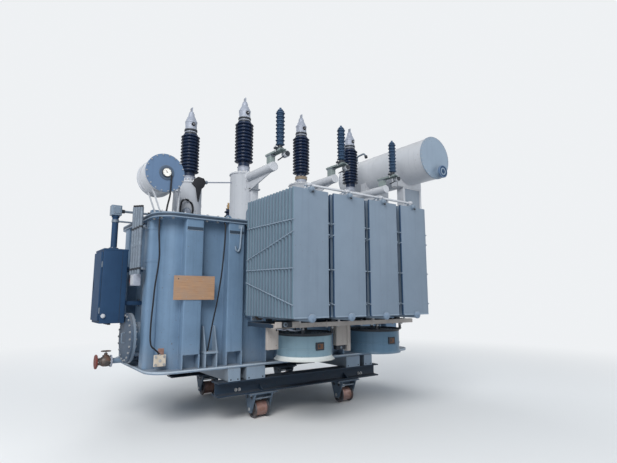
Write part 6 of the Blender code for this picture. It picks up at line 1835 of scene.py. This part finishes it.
def make_manhole():
    """The bolted round cover on the end wall, with its lifting handle."""
    piece = Piece("end_manhole_cover")
    wall, face = -HALF_LENGTH - CONTACT_GAP, -2.58
    piece.add(rod((wall, MANHOLE_Y, MANHOLE_Z), (face + 0.02, MANHOLE_Y, MANHOLE_Z), 0.22, 56), TANK_PAINT)
    ring = [(0, -0.035), (0.35, -0.035), (0.35, -0.003), (0.347, 0.0), (0, 0.0)]
    lid = [(0, 0.001), (0.348, 0.001), (0.35, 0.004), (0.35, 0.03), (0.345, 0.034), (0.3, 0.035), (0, 0.035)]
    for profile, finish in ((ring, RADIATOR_PAINT), (lid, LID_PAINT)):
        piece.add(aimed(turned(profile, 72), (face, MANHOLE_Y, MANHOLE_Z), (-1, 0, 0)), finish)
    for offset, way, size in ((-0.033, -1, 0.03), (0.035, 1, 0.028)):
        piece.bolt_ring((face + offset, MANHOLE_Y, MANHOLE_Z), (way, 0, 0), 0.315, 20, size)
    bends = ((-0.033, -0.07), (-0.075, -0.07), (-0.075, 0.07), (-0.033, 0.07))
    grip = [(face + offset, MANHOLE_Y, MANHOLE_Z + up) for offset, up in bends]
    piece.add(pipe(rounded_bend(grip, 0.02, 4), 0.009), RADIATOR_PAINT)
    piece.done("tank_paint", "end_manhole")


def make_drain():
    """The bottom oil valve: blue pipe, bolted flanges, dark body, red-brown end and hand wheel."""
    piece = Piece("bottom_oil_valve")
    wall = -HALF_LENGTH - CONTACT_GAP
    parts = (
        ([(0, 0), (0.053, 0), (0.053, 0.018), (0.04, 0.022), (0.04, 0.39), (0, 0.39)], wall, TANK_PAINT),
        ([(0, 0), (0.085, 0), (0.085, 0.017), (0.082, 0.02), (0, 0.02)], -2.72, CAP_METAL),
        ([(0, 0), (0.062, 0), (0.072, 0.02), (0.075, 0.05), (0.072, 0.09), (0.06, 0.118), (0, 0.118)], -2.742,
         VALVE_IRON),
        ([(0, 0), (0.052, 0), (0.052, 0.06), (0, 0.06)], -2.855, VALVE_IRON),
        ([(0, 0), (0.1, 0), (0.1, 0.017), (0.097, 0.02), (0.03, 0.02), (0, 0.02)], -2.92, RED_PAINT),
    )
    for profile, start, finish in parts:
        piece.add(aimed(turned(profile, 40), (start, DRAIN_Y, DRAIN_Z), (-1, 0, 0)), finish)
    piece.bolt_ring((-2.92, DRAIN_Y, DRAIN_Z), (1, 0, 0), 0.078, 8, 0.022)
    piece.bolt_ring((-2.74, DRAIN_Y, DRAIN_Z), (-1, 0, 0), 0.068, 8, 0.016)
    stem, top = -2.8, DRAIN_Z + 0.15
    bonnet = [(0, 0.06), (0.045, 0.06), (0.045, 0.085), (0.026, 0.09), (0.022, 0.115), (0, 0.115)]
    piece.turn(bonnet, 24, (stem, DRAIN_Y, DRAIN_Z), VALVE_IRON)
    piece.add(rod((stem, DRAIN_Y, DRAIN_Z), (stem, DRAIN_Y, top), 0.012, 16), BOLT_STEEL)
    wheel = [(0.06, -0.012), (0.066, -0.014), (0.07, -0.008), (0.066, -0.002), (0.06, -0.003),
             (0.057, -0.008)]
    piece.turn(wheel, 32, (stem, DRAIN_Y, top), VALVE_IRON, closed=True)
    for index in range(4):
        angle = math.pi / 2 * index
        end = (stem + 0.062 * math.cos(angle), DRAIN_Y + 0.062 * math.sin(angle), top - 0.008)
        piece.add(rod((stem, DRAIN_Y, top - 0.008), end, 0.006, 8), VALVE_IRON)
    piece.add(rod((stem, DRAIN_Y, top - 0.014), (stem, DRAIN_Y, top), 0.016, 16), VALVE_IRON)
    piece.done("valve_metal", "drain_valve")


def make_conduits():
    """Four steel conduits up the end of the tank on two rails, with saddles and junction boxes."""
    piece = Piece("cable_conduits")
    low_y, high_y = CONDUIT_Y[0] - 0.05, CONDUIT_Y[-1] + 0.05
    for z in (2.13, 2.715):
        piece.add(block((CONDUIT_X + 0.02, CONDUIT_X + 0.05), (low_y, high_y), about(z, 0.015), 0.002),
                  GALVANISED)
        piece.add(block((CONDUIT_X + 0.046, -2.4803), (-0.575, -0.525), about(z, 0.015), 0.002), GALVANISED)
        for y in CONDUIT_Y:
            saddle = [(0.0252, -0.014), (0.029, -0.014), (0.029, 0.014), (0.0252, 0.014)]
            piece.turn(saddle, 20, (CONDUIT_X, y, z), DARK_PAINT_AND_SHADE, closed=True)
            piece.bolt((CONDUIT_X + 0.02, y + 0.042, z), (-1, 0, 0), 0.014)
    for index, y in enumerate(CONDUIT_Y):
        top = 3.02 + index * 0.02
        tube = [(0, 2.05), (0.025, 2.05), (0.025, top - 0.03), (0.0, top - 0.03)]
        piece.turn(tube, 20, (CONDUIT_X, y, 0), GALVANISED)
        piece.add(rod((CONDUIT_X, y, top - 0.05), (CONDUIT_X, y, top), 0.021, 12, 0.003), BLACK_RUBBER)
        piece.add(rod((CONDUIT_X, y, 2.44), (CONDUIT_X, y, 2.5), 0.028, 20, 0.002), GALVANISED)
    middle = CONDUIT_Y[1]
    piece.add(folded_box(about(CONDUIT_X, 0.05), about(middle, 0.09), (1.894, 2.054), "Z", 0.012), CAP_METAL)
    lid = (CONDUIT_X - 0.0505, CONDUIT_X - 0.045)
    piece.add(block(lid, about(middle, 0.08), (1.905, 2.043), 0.002), WHITE_PAINT)
    box = (CONDUIT_X - 0.022, CONDUIT_X + 0.04)
    piece.add(folded_box(box, (-0.425, -0.245), (1.9, 2.052), "Z", 0.008), DARK_PAINT_AND_SHADE)
    piece.add(rod((CONDUIT_X - 0.022, -0.335, 1.96), (CONDUIT_X - 0.026, -0.335, 1.96), 0.022, 16), RED_PAINT)
    for deep in (-0.068, 0.068):
        for z in (1.917, 2.031):
            piece.bolt((CONDUIT_X - 0.05, middle + deep, z), (-1, 0, 0), 0.01, False)
    piece.done("galvanised", "conduit_bundle")


def make_board():
    """The blank plywood board on two ribs, with a small dark hole and its fixing screws."""
    piece = Piece("plywood_board")
    face = -RIB_FACE - CONTACT_GAP
    piece.add(block((-2.23, -1.64), (face - 0.012, face), (1.7, 2.03), 0.0015), PLYWOOD)
    piece.add(rod((-2.17, face - 0.0125, 1.985), (-2.17, face - 0.01, 1.985), 0.008, 16), DARK_PAINT_AND_SHADE)
    for x in (-2.05, -1.81):
        for z in (1.74, 1.98):
            piece.add(rod((x, face - 0.0125, z), (x, face - 0.01, z), 0.005, 10), BOLT_STEEL)
    piece.done("board", "sign_board")


make_tank()
make_base()
make_cover()
for side, where in ((-1, "front"), (1, "back")):
    make_beam(side, where)
    for end, hand in ((-1, "left"), (1, "right")):
        make_bogie(end, side, f"wheel_fork_{where}_{hand}", f"bogie_{where}_{hand}")
        make_wheel(end, side, f"flanged_wheel_{where}_{hand}", f"wheel_{where}_{hand}")
make_radiators()
make_fans()
make_fan_frames()
for index, x in enumerate(PHASE_X):
    make_phase_turret(index, x)
    make_arrester(index, x)
make_neutral_turret()
make_bushings()
for index, x in enumerate(LOW_X):
    make_low_bushing(index, x)
make_conservator()
for y, where in zip(COLUMN_Y, ("front", "back")):
    make_column(y, where)
make_oil_pipes()
make_gas_relay()
make_tap_head()
make_tap_drive()
make_tap_drum()
make_cabinet()
make_manhole()
make_drain()
make_conduits()
make_board()
